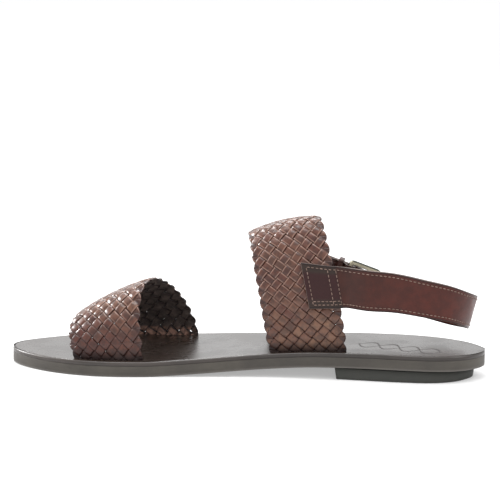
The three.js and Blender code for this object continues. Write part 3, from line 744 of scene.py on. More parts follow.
@dataclass(frozen=True)
class BraidLeather(Finish):
    """Glazed leather strands: each cell has its own tone, with painted shade in the gaps, where a strand
    dives under and near the insole, and painted highlights on the upper edges.
    """

    wear_and_light: Color = (0.185, 0.092, 0.052)
    # Colour of the painted shade in the gaps and where a strand dives under.
    gap: Color = (0.026, 0.005, 0.003)
    lit: Color = (0.34, 0.2, 0.15)
    coat: float = 0.48
    coat_roughness: float = 0.24
    specular: float = 0.25
    lean: float = 9.0
    painted_veil_low: float = 1.0
    painted_veil_high: float = 0.4
    low_at: float = 22 * MM
    high_at: float = 55 * MM

    def build(self) -> bpy.types.Material:
        """Makes the material.

        Returns:
            The material.
        """
        material, tree, shader = self.start()
        place = self.place(tree)
        run = tree.attribute("strand_run")
        side = tree.math("ABSOLUTE", tree.attribute("strand_side"))
        lift = tree.attribute("strand_lift")
        foot = tree.attribute("foot")
        number = tree.math("FLOOR", tree.math("MULTIPLY", run, 0.5))
        cell = tree.cell_noise(number).outputs[0]
        gloss = tree.cell_noise(number, 0.5).outputs[0]
        tone = tree.multiply_add(cell, 0.55, tree.math("MULTIPLY", self.patina(tree, place, 35), 0.45))
        height = tree.add("SeparateXYZ", Vector=place).outputs["Z"]
        # Each cell mixes in the greyer tone at a random share, as wear; how much that share changes with
        # height is a painted reflection veil.
        share = tree.between(height, self.low_at, self.high_at, self.painted_veil_low, self.painted_veil_high)
        color = tree.mix(tree.math("MULTIPLY", tone, share), self.base, self.wear_and_light)
        rub = tree.between(self.patina(tree, place, 260), 0.2, 0.9, 0.0, 0.45)
        color = tree.mix(rub, color, self.deep)
        upper = tree.between(height, self.low_at, self.high_at)
        # Painted highlight: the strands' edges take the lit colour higher up the band.
        painted_light = tree.math("MULTIPLY", tree.between(side, 0.6, 0.78), tree.math("MULTIPLY", upper, 0.5))
        color = tree.mix(painted_light, color, self.lit)
        # Painted shade: the strands' sides and the places where a strand dives under turn to the gap colour.
        border = tree.between(side, tree.between(upper, 0.0, 1.0, 0.7, 0.82), 0.96)
        dim = tree.math("MULTIPLY", border, 0.85)
        dive_shade = tree.between(lift, 0.45, -0.3)
        shade = tree.math("MAXIMUM", dim, tree.math("MULTIPLY", dive_shade, 0.95))
        color = tree.mix(shade, color, self.gap)
        # Painted shadow near the insole: the foot mask darkens the strands to the deep colour.
        color = tree.mix(tree.math("MULTIPLY", foot, 0.93), color, self.deep)
        tree.feed(shader.inputs["Base Color"], color)
        rough = tree.between(gloss, 0.0, 1.0, self.roughness - 0.1, self.roughness + 0.14)
        tree.feed(shader.inputs["Roughness"], tree.math("ADD", rough, tree.math("MULTIPLY", foot, 0.3)))
        shader.inputs["Specular IOR Level"].default_value = self.specular
        tree.feed(shader.inputs["Coat Weight"], tree.multiply_add(foot, -self.coat, self.coat))
        shader.inputs["Coat Roughness"].default_value = self.coat_roughness
        self.relief(tree, shader, self._surface(tree, place, run, number), 0.5 * MM)
        return material

    def _surface(self, tree: NodeTree, place: Socket, run: Socket, number: Socket) -> Socket:
        """Height of the strands' face: every cell leans a little its own way, with creases and grain.

        Args:
            tree: tree of the material.
            place: object coordinates.
            run: distance along the strand, in half cells.
            number: number of the cell.

        Returns:
            The height.
        """
        side = tree.attribute("strand_side")
        turns = tree.add("SeparateColor", Color=tree.cell_noise(number, 0.25).outputs["Color"])
        across = tree.math("MULTIPLY", tree.math("SUBTRACT", turns.outputs[0], 0.5), side)
        forward = tree.math("SUBTRACT", tree.math("FRACT", tree.math("MULTIPLY", run, 0.5)), 0.5)
        forward = tree.math("MULTIPLY", tree.math("SUBTRACT", turns.outputs[1], 0.5), forward)
        lean = tree.math("MULTIPLY", tree.multiply_add(forward, 1.7, across), self.lean)
        grid = tree.add("CombineXYZ", X=tree.math("MULTIPLY", run, 0.9), Y=tree.math("MULTIPLY", side, 4.0))
        height = tree.multiply_add(tree.noise(1.6, grid.outputs[0], 4.0), 0.6, lean)
        return tree.multiply_add(self.grain(tree, place, 1500), 0.6, height)


@dataclass(frozen=True)
class CutEdge(Finish):
    """Cut edge of a strand: dark red low down, painted lighter higher up as a highlight, and painted dark as
    shade where the strand dives under and near the insole.
    """

    lit: Color = (0.4, 0.26, 0.19)
    hidden_shade: Color = (0.015, 0.005, 0.004)
    low_at: float = 26 * MM
    high_at: float = 58 * MM

    def build(self) -> bpy.types.Material:
        """Makes the material.

        Returns:
            The material.
        """
        material, tree, shader = self.start()
        place = self.place(tree)
        lift = tree.attribute("strand_lift")
        foot = tree.attribute("foot")
        color = tree.mix(self.patina(tree, place, 300), self.base, self.deep)
        height = tree.add("SeparateXYZ", Vector=place).outputs["Z"]
        # Painted highlight: the cut edge turns to the lit colour higher up.
        color = tree.mix(tree.between(height, self.low_at, self.high_at), color, self.lit)
        dive_shade = tree.between(lift, 0.85, 0.1)
        # Painted shade where the strand dives under and near the insole.
        color = tree.mix(tree.math("MAXIMUM", dive_shade, foot), color, self.hidden_shade)
        tree.feed(shader.inputs["Base Color"], color)
        shader.inputs["Roughness"].default_value = self.roughness
        self.relief(tree, shader, self.grain(tree, place, 2500), 0.3 * MM)
        return material


@dataclass(frozen=True)
class FleshSide(Finish):
    """Inner side of the strands: rough and dark, lighter and redder just above the insole as painted light
    broken up by patchy wear.
    """

    painted_light: Color = (0.36, 0.2, 0.15)

    def build(self) -> bpy.types.Material:
        """Makes the material.

        Returns:
            The material.
        """
        material, tree, shader = self.start()
        place = self.place(tree)
        color = tree.mix(self.patina(tree, place, 200), self.base, self.deep)
        # Painted light: strands bulging inward near the insole turn lighter and redder, broken up by patchy
        # wear.
        foot = tree.between(tree.attribute("foot"), 0.2, 0.6)
        lift = tree.between(tree.attribute("strand_lift"), -0.9, 0.2, 1.0, 0.1)
        wear_and_light = tree.math("MULTIPLY", lift, tree.between(self.patina(tree, place, 420), 0.1, 0.9, 0.35, 1.0))
        color = tree.mix(tree.math("MULTIPLY", foot, wear_and_light), color, self.painted_light)
        tree.feed(shader.inputs["Base Color"], color)
        shader.inputs["Roughness"].default_value = self.roughness
        self.relief(tree, shader, self.grain(tree, place, 1200), 0.3 * MM)
        return material


@dataclass(frozen=True)
class StrapLeather(Finish):
    """Smooth dyed strap leather: redder toward the heel, dark painted edges, a groove per seam."""

    red: Color = (0.088, 0.014, 0.008)
    box: Color = (0.026, 0.008, 0.009)
    frame: Color = (0.024, 0.017, 0.014)
    box_half: float = 0.5
    groove_at: float = 0.81
    coat: float = 0.16
    coat_roughness: float = 0.2
    specular: float = 0.16

    def build(self) -> bpy.types.Material:
        """Makes the material.

        Returns:
            The material.
        """
        material, tree, shader = self.start()
        place = self.place(tree)
        run = tree.attribute("strap_run")
        side = tree.math("ABSOLUTE", tree.attribute("strap_side"))
        patch = tree.attribute("patch")
        clouds = self.patina(tree, place, 22)
        warm = tree.between(run, 0.03, 0.085)
        dye = tree.math("MULTIPLY", clouds, tree.multiply_add(warm, 0.35, 0.3))
        color = tree.mix(dye, self.base, self.red)
        color = tree.mix(tree.math("MULTIPLY", warm, 0.4), color, self.red)
        color = tree.mix(tree.math("MULTIPLY", self.patina(tree, place, 210), 0.3), color, self.deep)
        border = tree.between(side, self.box_half, self.box_half + 0.2)
        sewn = tree.mix(border, self.box, self.frame)
        color = tree.mix(tree.math("MULTIPLY", patch, 0.85), color, sewn)
        paint = tree.between(side, 0.88, 0.97)
        color = tree.mix(tree.math("MULTIPLY", paint, 0.9), color, self.deep)
        tree.feed(shader.inputs["Base Color"], color)
        uneven = self.patina(tree, place, 120)
        rough = tree.between(uneven, 0.0, 1.0, self.roughness - 0.06, self.roughness + 0.1)
        tree.feed(shader.inputs["Roughness"], rough)
        shader.inputs["Specular IOR Level"].default_value = self.specular
        shader.inputs["Coat Weight"].default_value = self.coat
        shader.inputs["Coat Roughness"].default_value = self.coat_roughness
        seam = tree.math("ABSOLUTE", tree.math("SUBTRACT", side, self.groove_at))
        groove = tree.between(seam, 0.0, 0.07, 0.0, 1.0)
        grain = tree.math("MULTIPLY", self.grain(tree, place, 1400), 0.25)
        height = tree.multiply_add(groove, 0.8, grain)
        self.relief(tree, shader, height, 0.5 * MM)
        return material


@dataclass(frozen=True)
class PlainLeather(Finish):
    """Small leather goods with an even dye."""

    def build(self) -> bpy.types.Material:
        """Makes the material.

        Returns:
            The material.
        """
        material, tree, shader = self.start()
        place = self.place(tree)
        color = tree.mix(self.patina(tree, place, 120), self.base, self.deep)
        tree.feed(shader.inputs["Base Color"], color)
        shader.inputs["Roughness"].default_value = self.roughness
        self.relief(tree, shader, self.grain(tree, place, 1600), 0.3 * MM)
        return material


@dataclass(frozen=True)
class InsoleLeather(Finish):
    """Polished insole leather: dark, with a soft sheen and faint burnishing, some with an ornament."""

    coat: float = 0.3
    coat_roughness: float = 0.28
    pressed: Color = (0.012, 0.008, 0.007)
    pressed_depth: float = 6.0
    ornament: bool = False
    ornament_at: Place = (0.086, -0.009, 0.0)
    ornament_turn: float = math.radians(-18)
    ornament_length: float = 48 * MM
    ornament_width: float = 14 * MM
    ornament_links: int = 4
    ornament_line: float = 1.3 * MM

    def _ornament(self, tree: NodeTree, place: Socket) -> Socket:
        """Mask of a pressed chain: two waves that cross, held between two ends.

        Args:
            tree: tree of the material.
            place: object coordinates.

        Returns:
            The mask.
        """
        local = tree.offset(place, self.ornament_at)
        turn = self.ornament_turn
        along = tree.dot(local, Vector((math.cos(turn), math.sin(turn), 0)))
        across = tree.dot(local, Vector((-math.sin(turn), math.cos(turn), 0)))
        pace = math.pi * self.ornament_links / self.ornament_length
        wave = tree.math("SINE", tree.math("MULTIPLY", along, pace))
        swing = tree.math("MULTIPLY", wave, self.ornament_width / 2)
        offs = [tree.math("ABSOLUTE", tree.math(way, across, swing)) for way in ("ADD", "SUBTRACT")]
        nearest = tree.math("MINIMUM", *offs)
        line = tree.between(nearest, 0.4 * self.ornament_line, self.ornament_line, 1.0, 0.0)
        reach = tree.math("ABSOLUTE", along)
        half = self.ornament_length / 2
        return tree.math("MULTIPLY", line, tree.between(reach, half, half + self.ornament_line, 1.0, 0.0))

    def build(self) -> bpy.types.Material:
        """Makes the material.

        Returns:
            The material.
        """
        material, tree, shader = self.start()
        place = self.place(tree)
        color = tree.mix(self.patina(tree, place, 25), self.base, self.deep)
        uneven = self.patina(tree, place, 60)
        rough = tree.between(uneven, 0.0, 1.0, self.roughness - 0.03, self.roughness + 0.05)
        height = self.grain(tree, place, 1100)
        shader.inputs["Coat Weight"].default_value = self.coat
        if self.ornament:
            mark = self._ornament(tree, place)
            color = tree.mix(tree.math("MULTIPLY", mark, 0.6), color, self.pressed)
            rough = tree.multiply_add(mark, 0.25, rough)
            height = tree.multiply_add(mark, -self.pressed_depth, height)
            tree.feed(shader.inputs["Coat Weight"], tree.multiply_add(mark, -0.6 * self.coat, self.coat))
        tree.feed(shader.inputs["Base Color"], color)
        tree.feed(shader.inputs["Roughness"], rough)
        shader.inputs["Coat Roughness"].default_value = self.coat_roughness
        self.relief(tree, shader, height, 0.2 * MM)
        return material


@dataclass(frozen=True)
class SoleEdge(Finish):
    """Burnished sole leather: fine lines along the side, painted lighter toward the lower edge as a
    reflection of the pale floor.
    """

    painted_light: Color = (0.12, 0.11, 0.1)

    def build(self) -> bpy.types.Material:
        """Makes the material.

        Returns:
            The material.
        """
        material, tree, shader = self.start()
        place = self.place(tree)
        layers = tree.add("Mapping", Vector=place, Scale=(20, 20, 1600))
        lines = tree.noise(1.0, layers.outputs[0], 4.0, 0.6)
        color = tree.mix(self.patina(tree, place, 45), self.base, self.deep)
        color = tree.mix(tree.between(lines, 0.4, 0.75, 0.0, 0.45), color, self.deep)
        # Painted reflection: the lower part of the side turns lighter, as if reflecting the floor.
        low = tree.between(tree.attribute("layer"), 0.28, 0.02, 0.0, 0.75)
        color = tree.mix(low, color, self.painted_light)
        tree.feed(shader.inputs["Base Color"], color)
        shader.inputs["Roughness"].default_value = self.roughness
        grain = tree.math("MULTIPLY", self.grain(tree, place, 1800), 0.3)
        height = tree.multiply_add(lines, 0.7, grain)
        self.relief(tree, shader, height, 0.2 * MM)
        return material


@dataclass(frozen=True)
class Rubber(Finish):
    """Matte moulded rubber with dust in its pores."""

    def build(self) -> bpy.types.Material:
        """Makes the material.

        Returns:
            The material.
        """
        material, tree, shader = self.start()
        place = self.place(tree)
        color = tree.mix(self.patina(tree, place, 70), self.base, self.deep)
        tree.feed(shader.inputs["Base Color"], color)
        shader.inputs["Roughness"].default_value = self.roughness
        self.relief(tree, shader, tree.noise(2600, place, 3.0), 0.2 * MM)
        return material


@dataclass(frozen=True)
class Brass(Finish):
    """Aged brass: brushed and pale on its two faces with patchy tarnish, and painted dark round its rim as a
    dark reflection.

    The rim is found from the frame's centre and half sizes. Their first values lie far outside a
    small piece, which leaves it pale all over.
    """

    rim: Color = (0.03, 0.034, 0.026)
    centre: Place = (0.0, -1.0, 0.0)
    slope: float = 0.0
    half_length: float = 1.0
    half_width: float = 1.0
    outline: float = 0.75 * MM
    face_from: float = 0.85 * MM
    face_to: float = 1.1 * MM
    metal: float = 0.65

    def _within(self, tree: NodeTree, local: Socket, axis: Vector, half: float) -> Socket:
        """Mask that falls from 1 to 0 across the outline at both ends of an axis."""
        reach = tree.math("ABSOLUTE", tree.dot(local, axis))
        return tree.between(reach, half - self.outline, half - 0.5 * self.outline, 1.0, 0.0)

    def build(self) -> bpy.types.Material:
        """Makes the material.

        Returns:
            The material.
        """
        material, tree, shader = self.start()
        place = self.place(tree)
        tarnish = self.patina(tree, place, 160)
        local = tree.offset(place, self.centre)
        depth = tree.math("ABSOLUTE", tree.add("SeparateXYZ", Vector=local).outputs["Y"])
        forward = Vector((-math.cos(self.slope), 0, math.sin(self.slope)))
        upward = Vector((math.sin(self.slope), 0, math.cos(self.slope)))
        face = tree.between(depth, self.face_from, self.face_to)
        face = tree.math("MULTIPLY", face, self._within(tree, local, forward, self.half_length))
        face = tree.math("MULTIPLY", face, self._within(tree, local, upward, self.half_width))
        color = tree.mix(tree.math("MULTIPLY", tarnish, 0.5), self.base, self.deep)
        # Painted reflection: outside its two faces the frame takes the dark rim colour.
        tree.feed(shader.inputs["Base Color"], tree.mix(face, self.rim, color))
        rough = tree.between(tarnish, 0.0, 1.0, self.roughness, self.roughness + 0.15)
        tree.feed(shader.inputs["Roughness"], rough)
        shader.inputs["Metallic"].default_value = self.metal
        brushed = tree.add("Mapping", Vector=place, Scale=(300, 300, 4000))
        self.relief(tree, shader, tree.noise(1.0, brushed.outputs[0], 2.0), 0.1 * MM)
        return material


@dataclass(frozen=True)
class Thread(Finish):
    """Waxed sewing thread."""

    def build(self) -> bpy.types.Material:
        """Makes the material.

        Returns:
            The material.
        """
        material, tree, shader = self.start()
        place = self.place(tree)
        tree.feed(shader.inputs["Base Color"], tree.mix(self.patina(tree, place, 400), self.base, self.deep))
        shader.inputs["Roughness"].default_value = self.roughness
        twist = tree.add("Mapping", Vector=place, Rotation=(0.4, 0.7, 0.3))
        wave = tree.add("TexWave", Vector=twist.outputs[0], Scale=900.0, Distortion=1.0)
        self.relief(tree, shader, wave.outputs["Fac"], 0.15 * MM)
        return material


INSTEP_BRAID = BraidLeather("instep_braid_leather", (0.068, 0.016, 0.009), (0.008, 0.003, 0.003), 0.34, 0.16)
TOE_BRAID = BraidLeather(
    "toe_braid_leather", (0.062, 0.013, 0.007), (0.008, 0.003, 0.003), 0.3, 0.16,
    lean=14.0, painted_veil_low=0.25, painted_veil_high=0.6, low_at=18 * MM, high_at=40 * MM,
)
INSTEP_EDGE = CutEdge("instep_cut_edge", (0.07, 0.016, 0.009), (0.03, 0.008, 0.005), 0.4, 0.3)
TOE_EDGE = CutEdge(
    "toe_cut_edge", (0.1, 0.03, 0.018), (0.04, 0.01, 0.006), 0.4, 0.3, low_at=16 * MM, high_at=40 * MM,
)
FLESH_SIDE = FleshSide("strand_flesh_side", (0.085, 0.061, 0.052), (0.04, 0.029, 0.025), 0.75, 0.2)
STRAP = StrapLeather("strap_leather", (0.045, 0.014, 0.01), (0.008, 0.004, 0.004), 0.36, 0.4)
STRAP_EDGE = PlainLeather("strap_painted_edge", (0.12, 0.08, 0.065), (0.05, 0.03, 0.024), 0.5, 0.2)
LOOP = PlainLeather("loop_leather", (0.06, 0.02, 0.015), (0.02, 0.008, 0.006), 0.45, 0.25)
INSOLE = InsoleLeather(
    "insole_leather", (0.03, 0.021, 0.017), (0.022, 0.015, 0.012), 0.26, 0.06, ornament=True,
)
INSOLE_SIDE = InsoleLeather(
    "insole_edge", (0.04, 0.03, 0.025), (0.024, 0.018, 0.015), 0.38, 0.08, coat=0.1,
)
SOLE = SoleEdge("sole_leather", (0.062, 0.054, 0.043), (0.04, 0.034, 0.028), 0.55, 0.25)
HEEL = Rubber("heel_rubber", (0.034, 0.034, 0.029), (0.03, 0.031, 0.027), 0.7, 0.2)
FRAME_BRASS = Brass("buckle_frame_brass", (0.75, 0.71, 0.54), (0.4, 0.36, 0.25), 0.38, 0.15)
PRONG_BRASS = Brass("buckle_prong_brass", (0.55, 0.5, 0.36), (0.25, 0.22, 0.14), 0.35, 0.15)
THREAD = Thread("sewing_thread", (0.23, 0.15, 0.12), (0.13, 0.08, 0.06), 0.6, 0.3)


@dataclass
class Sole:
    """Outsole, insole and rubber heel block."""

    form: SoleForm
    stations: int = 150
    lanes: int = 30
    insole_rounding: float = 1.3 * MM
    outsole_bottom_bevel: float = 0.7 * MM
    outsole_top_bevel: float = 0.2 * MM
    insole_seam: float = 0.05 * MM
    heel_length: float = 80 * MM
    heel_back_inset: float = 5.5 * MM
    heel_side_inset: float = 1 * MM
    heel_taper: float = 0.8 * MM
    heel_edge_bevel: float = 0.5 * MM

    def _sheet(self, height: Callable[[float], float]) -> bmesh.types.BMesh:
        """Sheet of the sole's outline at a height that follows its length.

        Args:
            height: height of the sheet at a place along X.

        Returns:
            The sheet.
        """
        bm = bmesh.new()
        bmesh.ops.create_grid(bm, x_segments=self.stations, y_segments=self.lanes, size=0.5)
        for vert in bm.verts:
            at = (1 - math.cos(math.pi * (vert.co.x + 0.5))) / 2
            x = self.form.x_at(at)
            vert.co = Vector((x, self.form.edge(at, 2 * vert.co.y), height(x)))
        bmesh.ops.remove_doubles(bm, verts=bm.verts, dist=WELD_DISTANCE)
        return bm

    def _raise(self, bm: bmesh.types.BMesh, lift: Callable[[Vector], Vector]) -> None:
        """Closes a sheet into a slab: its copy is moved by lift.

        Args:
            bm: the sheet, whose faces end up pointing outward.
            lift: new place of a point of the upper face.
        """
        bottom = list(bm.faces)
        made = bmesh.ops.extrude_face_region(bm, geom=bottom)
        for vert in (item for item in made["geom"] if isinstance(item, bmesh.types.BMVert)):
            vert.co = lift(vert.co)
        bmesh.ops.recalc_face_normals(bm, faces=bm.faces)

    def _rim(self, bm: bmesh.types.BMesh, top: bool) -> list[bmesh.types.BMEdge]:
        """Edges between the side and the upper or lower face.

        Args:
            bm: mesh of the slab.
            top: whether the upper edge is meant.

        Returns:
            The edges.
        """
        found = []
        for edge in bm.edges:
            if len(edge.link_faces) != 2:
                continue
            normals = [face.normal.z for face in edge.link_faces]
            flat = [z for z in normals if abs(z) > 0.8]
            upright = [z for z in normals if abs(z) < 0.5]
            if len(flat) == 1 and len(upright) == 1 and (flat[0] > 0) == top:
                found.append(edge)
        return found

    def _bevel(self, bm: bmesh.types.BMesh, top: bool, width: float, segments: int) -> None:
        """Rounds the upper or lower edge all round.

        Args:
            bm: mesh of the slab.
            top: whether the upper edge is rounded, or else the lower one.
            width: width of the rounding.
            segments: faces across the rounding.
        """
        bm.normal_update()
        bmesh.ops.bevel(
            bm, geom=self._rim(bm, top), offset=width, offset_type="OFFSET", segments=segments,
            profile=0.5, affect="EDGES", clamp_overlap=False, material=-1,
        )

    def outsole(self) -> bpy.types.Object:
        """Leather outsole.

        Returns:
            The outsole.
        """
        form = self.form
        bm = self._sheet(form.underside)
        layer = bm.verts.layers.float.new("layer")
        self._raise(bm, lambda co: co + Vector((0, 0, form.outsole_thickness)))
        for vert in bm.verts:
            vert[layer] = (vert.co.z - form.underside(vert.co.x)) / form.outsole_thickness
        self._bevel(bm, False, self.outsole_bottom_bevel, 3)
        self._bevel(bm, True, self.outsole_top_bevel, 2)
        piece = dress(finished(bm, "outsole_leather"), Slot.SOLE, SOLE.build())
        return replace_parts(piece, "outsole")

    def insole(self) -> bpy.types.Object:
        """Polished insole with its rounded upper edge.

        Returns:
            The insole.
        """
        form = self.form
        bm = self._sheet(lambda x: form.outsole_top(x) + self.insole_seam)
        self._raise(bm, lambda co: co + Vector((0, 0, form.insole_thickness + form.gap - self.insole_seam)))
        self._bevel(bm, True, self.insole_rounding, 6)
        piece = finished(bm, "insole_leather")
        for face in piece.data.polygons:
            face.material_index = 0 if face.normal.z > 0.8 else 1
        piece = dress(piece, Slot.INSOLE, INSOLE.build(), INSOLE_SIDE.build())
        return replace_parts(piece, "insole")

    def _heel_point(self, share: float, side: float, inset: float, z: float) -> Vector:
        """Point of the heel block at a share of its length from its back.

        Args:
            share: share of the block's length from its back.
            side: -1 at its inner edge, 1 at its outer edge.
            inset: how far in from the block's upper outline the point lies.
            z: its height.

        Returns:
            The point.
        """
        back = self.heel_back_inset
        breast = self.heel_length / self.form.length
        half = self.form.ball_width * self.form.half(share * breast)
        middle = self.form.edge(share * breast, 0)
        narrowed = max(0.0, half - (self.heel_side_inset + inset) * min(1.0, half / (2 * back)))
        x = self.form.length / 2 - back - (self.heel_length - back) * share - inset * (1 - 2 * share)
        return Vector((x, middle + side * narrowed, z))

    def heel(self) -> bpy.types.Object:
        """Rubber heel block with a straight front face.

        Returns:
            The heel block.
        """
        bm = bmesh.new()
        bmesh.ops.create_grid(bm, x_segments=60, y_segments=16, size=0.5)
        places = {}
        for vert in bm.verts:
            share = 1 - math.cos(math.pi / 2 * (vert.co.x + 0.5))
            places[vert.index] = (share, 2 * vert.co.y)
        top = self.form.heel_height - self.form.gap
        sheet = list(bm.verts)
        upper = {}
        for vert in sheet:
            share, side = places[vert.index]
            vert.co = self._heel_point(share, side, self.heel_taper, 0)
            upper[tuple(round(c / MM, 4) for c in vert.co)] = self._heel_point(share, side, 0, top)
        bmesh.ops.remove_doubles(bm, verts=bm.verts, dist=WELD_DISTANCE)
        self._raise(bm, lambda co: upper[tuple(round(c / MM, 4) for c in co)])
        self._bevel(bm, False, self.heel_edge_bevel, 3)
        piece = dress(finished(bm, "heel_block"), Slot.HEEL, HEEL.build())
        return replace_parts(piece, "heel")


@dataclass
class Braid:
    """Band of flat leather strands, each going zigzag from edge to edge, over one and under one."""

    node: str
    form: BandForm
    seed: float
    face: BraidLeather
    edge: CutEdge
    cells_across: int = 6
    wave: float = 0.64 * MM
    strand_thickness: float = 1.1 * MM
    dome: float = 0.1 * MM
    edge_drop: float = 0.2 * MM
    twist: float = 0.22 * MM
    outward: float = 0.3 * MM
    fill: float = 0.84
    scallop: float = 0.2
    inside: float = 0.5
    irregularity: float = 0.05
    width_change: float = 0.11
    strand_shift: float = 0.17
    rows_per_crossing: int = 6
    lanes: int = 6
    foot_shade: float = 8.5 * MM
    foot_pinch: float = 0.05
    shade_strip_height: float = 0.5
    foot_reach: float = 1.4
    fold_ease: float = 1.2
    fold_rise: float = 1.1
    step_sharpness: float = 2.3

    def __post_init__(self) -> None:
        """Counts the lattice: a cell is two steps long and wide."""
        self.rows = 2 * self.cells_across
        self.columns = 2 * round(self.form.length / (self.form.width / self.cells_across))
        self.half_width = self.fill * math.sqrt(0.5)
        self.leg = self.rows * math.sqrt(2)

    def _scalloped(self, n: float) -> float:
        """Holds a strand's fold inside the band's edge, as a soft scallop.

        Args:
            n: place across the band, in lattice steps.

        Returns:
            The place that is held inside.
        """
        inside = self.inside
        reach = inside + self.scallop
        if n < inside:
            return inside - reach * math.tanh((inside - n) / reach)
        if n > self.rows - inside:
            return self.rows - inside + reach * math.tanh((n - self.rows + inside) / reach)
        return n

    def _lattice(self, start: float, rising: bool, s: float, t: float) -> tuple[float, float, float]:
        """Place of a point of a leg in the lattice.

        Args:
            start: place along the band of the leg's first fold.
            rising: whether the leg goes from the front edge to the rear edge.
            s: distance along the leg.
            t: distance to the side of its middle.

        Returns:
            Place along, place across, and distance along the leg with the mitre at its folds.
        """
        ease = self.fold_ease
        fold = max(0.0, 1 - s / ease) + max(0.0, 1 - (self.leg - s) / ease)
        root = math.sqrt(0.5)
        if rising:
            shifted = s - t * fold
            return start + (shifted + t) * root, (shifted - t) * root, shifted
        shifted = s + t * fold
        return start + (shifted - t) * root, self.rows - (shifted + t) * root, shifted

    def _height(self, rising: bool, s: float, shifted: float) -> float:
        """Height of a strand's middle, from -1 under to 1 over its neighbours.

        Args:
            rising: whether the leg goes from the front edge to the rear edge.
            s: distance along the leg.
            shifted: distance along it with the mitre at its folds.

        Returns:
            The height.
        """
        crossing = shifted * math.sqrt(0.5)
        wave = math.cos(math.pi * crossing) * (-1 if rising else 1)
        flat = math.tanh(self.step_sharpness * wave) / math.tanh(self.step_sharpness)
        return flat * smoothstep(min(s, self.leg - s) / self.fold_rise)

    def _add_leg(self, bm: bmesh.types.BMesh, layers: dict, start: float, rising: bool) -> None:
        """Adds one leg, from fold to fold, cut off below the band's feet.

        Args:
            bm: mesh of the band.
            layers: its point layers, by name.
            start: place along the band of the leg's first fold.
            rising: whether the leg goes from the front edge to the rear edge.
        """
        reach = self.foot_reach
        root = math.sqrt(0.5)
        low = max(0.0, (-reach - start) / root)
        high = min(self.leg, (self.columns + reach - start) / root)
        if high - low < 0.5:
            return
        crossings = (high - low) / math.sqrt(2)
        rows = max(2, round(crossings * self.rows_per_crossing))
        grid = bmesh.ops.create_grid(bm, x_segments=rows, y_segments=self.lanes, size=0.5)
        strand = (start if rising else start - self.rows) % (2 * self.rows)
        drift = self.strand_shift * noise.noise(Vector((strand * 1.7, 0.5, self.seed)))
        for vert in grid["verts"]:
            s = lerp(low, high, vert.co.x + 0.5)
            side = math.copysign(1 - (1 - abs(2 * vert.co.y)) ** 1.8, vert.co.y)
            run = s * root + 40 * strand + (0 if rising else 21)
            wobble = 1 + self.width_change * noise.noise(Vector((run * 0.3, strand * 3.1, self.seed)))
            t = side * self.half_width * wobble + drift
            m, n, shifted = self._lattice(start, rising, s, t)
            jitter = noise.noise_vector(Vector((m * 0.45, n * 0.45, self.seed + 7)))
            inner = smoothstep(min(n, self.rows - n) / 2)
            m += self.irregularity * jitter.x * 2
            n = self._scalloped(n) + self.irregularity * jitter.y * 2 * inner
            level = self._height(rising, s, shifted)
            lean = self.twist * side * noise.noise(Vector((run * 0.5, 7.7, self.seed + 21)))
            edge = self.edge_drop * max(0.0, (abs(side) - 0.8) / 0.2) ** 2
            off = self.outward + self.wave * level - self.dome * side * side + lean - edge
            self._place(vert, m, n, off)
            vert[layers["strand_run"]] = run
            vert[layers["strand_side"]] = side
            vert[layers["strand_lift"]] = level
            # The foot mask, 1 at the insole, places painted shade on the strands' faces and painted light on
            # their inner side there, and lowers the gloss.
            vert[layers["foot"]] = 1 - smoothstep(self._above_insole(vert.co) / self.foot_shade)

    def _above_insole(self, spot: Vector) -> float:
        """Height of a point over the insole."""
        return spot.z - self.form.sole.insole_top(spot.x)

    def _place(self, vert: bmesh.types.BMVert, m: float, n: float, off: float) -> None:
        """Puts a point of the lattice on the band, drawn in a little at its feet.

        Args:
            vert: the point.
            m: place along the band, in lattice steps.
            n: place across it, in lattice steps.
            off: height above the band's middle surface.
        """
        down = max(0.0, 1 - min(m, self.columns - m) / 3)
        middle = self.rows / 2
        drawn = middle + (n - middle) * (1 - self.foot_pinch * smoothstep(down))
        vert.co = self.form.point(m / self.columns, drawn / self.rows, off)

    def _add_shade_strip(self, bm: bmesh.types.BMesh, layers: dict, foot: float, inward: float) -> None:
        """Adds a dark strip behind the strands at one foot, painted shade that fills the gaps between them
        there.

        Args:
            bm: mesh of the band.
            layers: its point layers, by name.
            foot: place along the band of its foot, in lattice steps.
            inward: 1 at the inner foot, -1 at the outer foot.
        """
        grid = bmesh.ops.create_grid(bm, x_segments=6, y_segments=24, size=0.5)
        for vert in grid["verts"]:
            m = foot + inward * lerp(-self.foot_reach, self.shade_strip_height, vert.co.x + 0.5)
            n = self.rows / 2 - inward * (self.rows - 1) * vert.co.y
            self._place(vert, m, n, self.outward)
            # The strip takes the darkest painted shade: fully dived under and at the foot.
            vert[layers["strand_lift"]] = -1
            vert[layers["foot"]] = 1

    def _trim(self, bm: bmesh.types.BMesh) -> None:
        """Cuts the strands off just under the top of the insole.

        Args:
            bm: mesh of the band.
        """
        sole = self.form.sole
        xs = [edge.at(end).x for edge in (self.form.front, self.form.rear) for end in (0, 1)]
        low, high = min(xs), max(xs)
        first = Vector((low, 0, sole.insole_top(low) - sole.insole_thickness))
        last = Vector((high, 0, sole.insole_top(high) - sole.insole_thickness))
        slope = last - first
        down = Vector((slope.z, 0, -slope.x))
        geom = [*bm.verts, *bm.edges, *bm.faces]
        bmesh.ops.bisect_plane(bm, geom=geom, plane_co=first, plane_no=down, clear_outer=True)

    def build(self) -> bpy.types.Object:
        """Weaves the band.

        Returns:
            The band.
        """
        bm = bmesh.new()
        names = ("strand_run", "strand_side", "strand_lift", "foot")
        layers = {name: bm.verts.layers.float.new(name) for name in names}
        for start in range(-self.rows - 1, self.columns + 2, 2):
            self._add_leg(bm, layers, start, True)
            self._add_leg(bm, layers, start, False)
        self._add_shade_strip(bm, layers, 0, 1)
        self._add_shade_strip(bm, layers, self.columns, -1)
        self._trim(bm)
        piece = finished(bm, f"{self.node}_strands")
        solidify(piece, self.strand_thickness, 2)
        piece.modifiers["thickness"].material_offset = 1
        dress(piece, Slot.BRAID, self.face.build(), FLESH_SIDE.build(), self.edge.build())
        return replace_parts(piece, self.node)


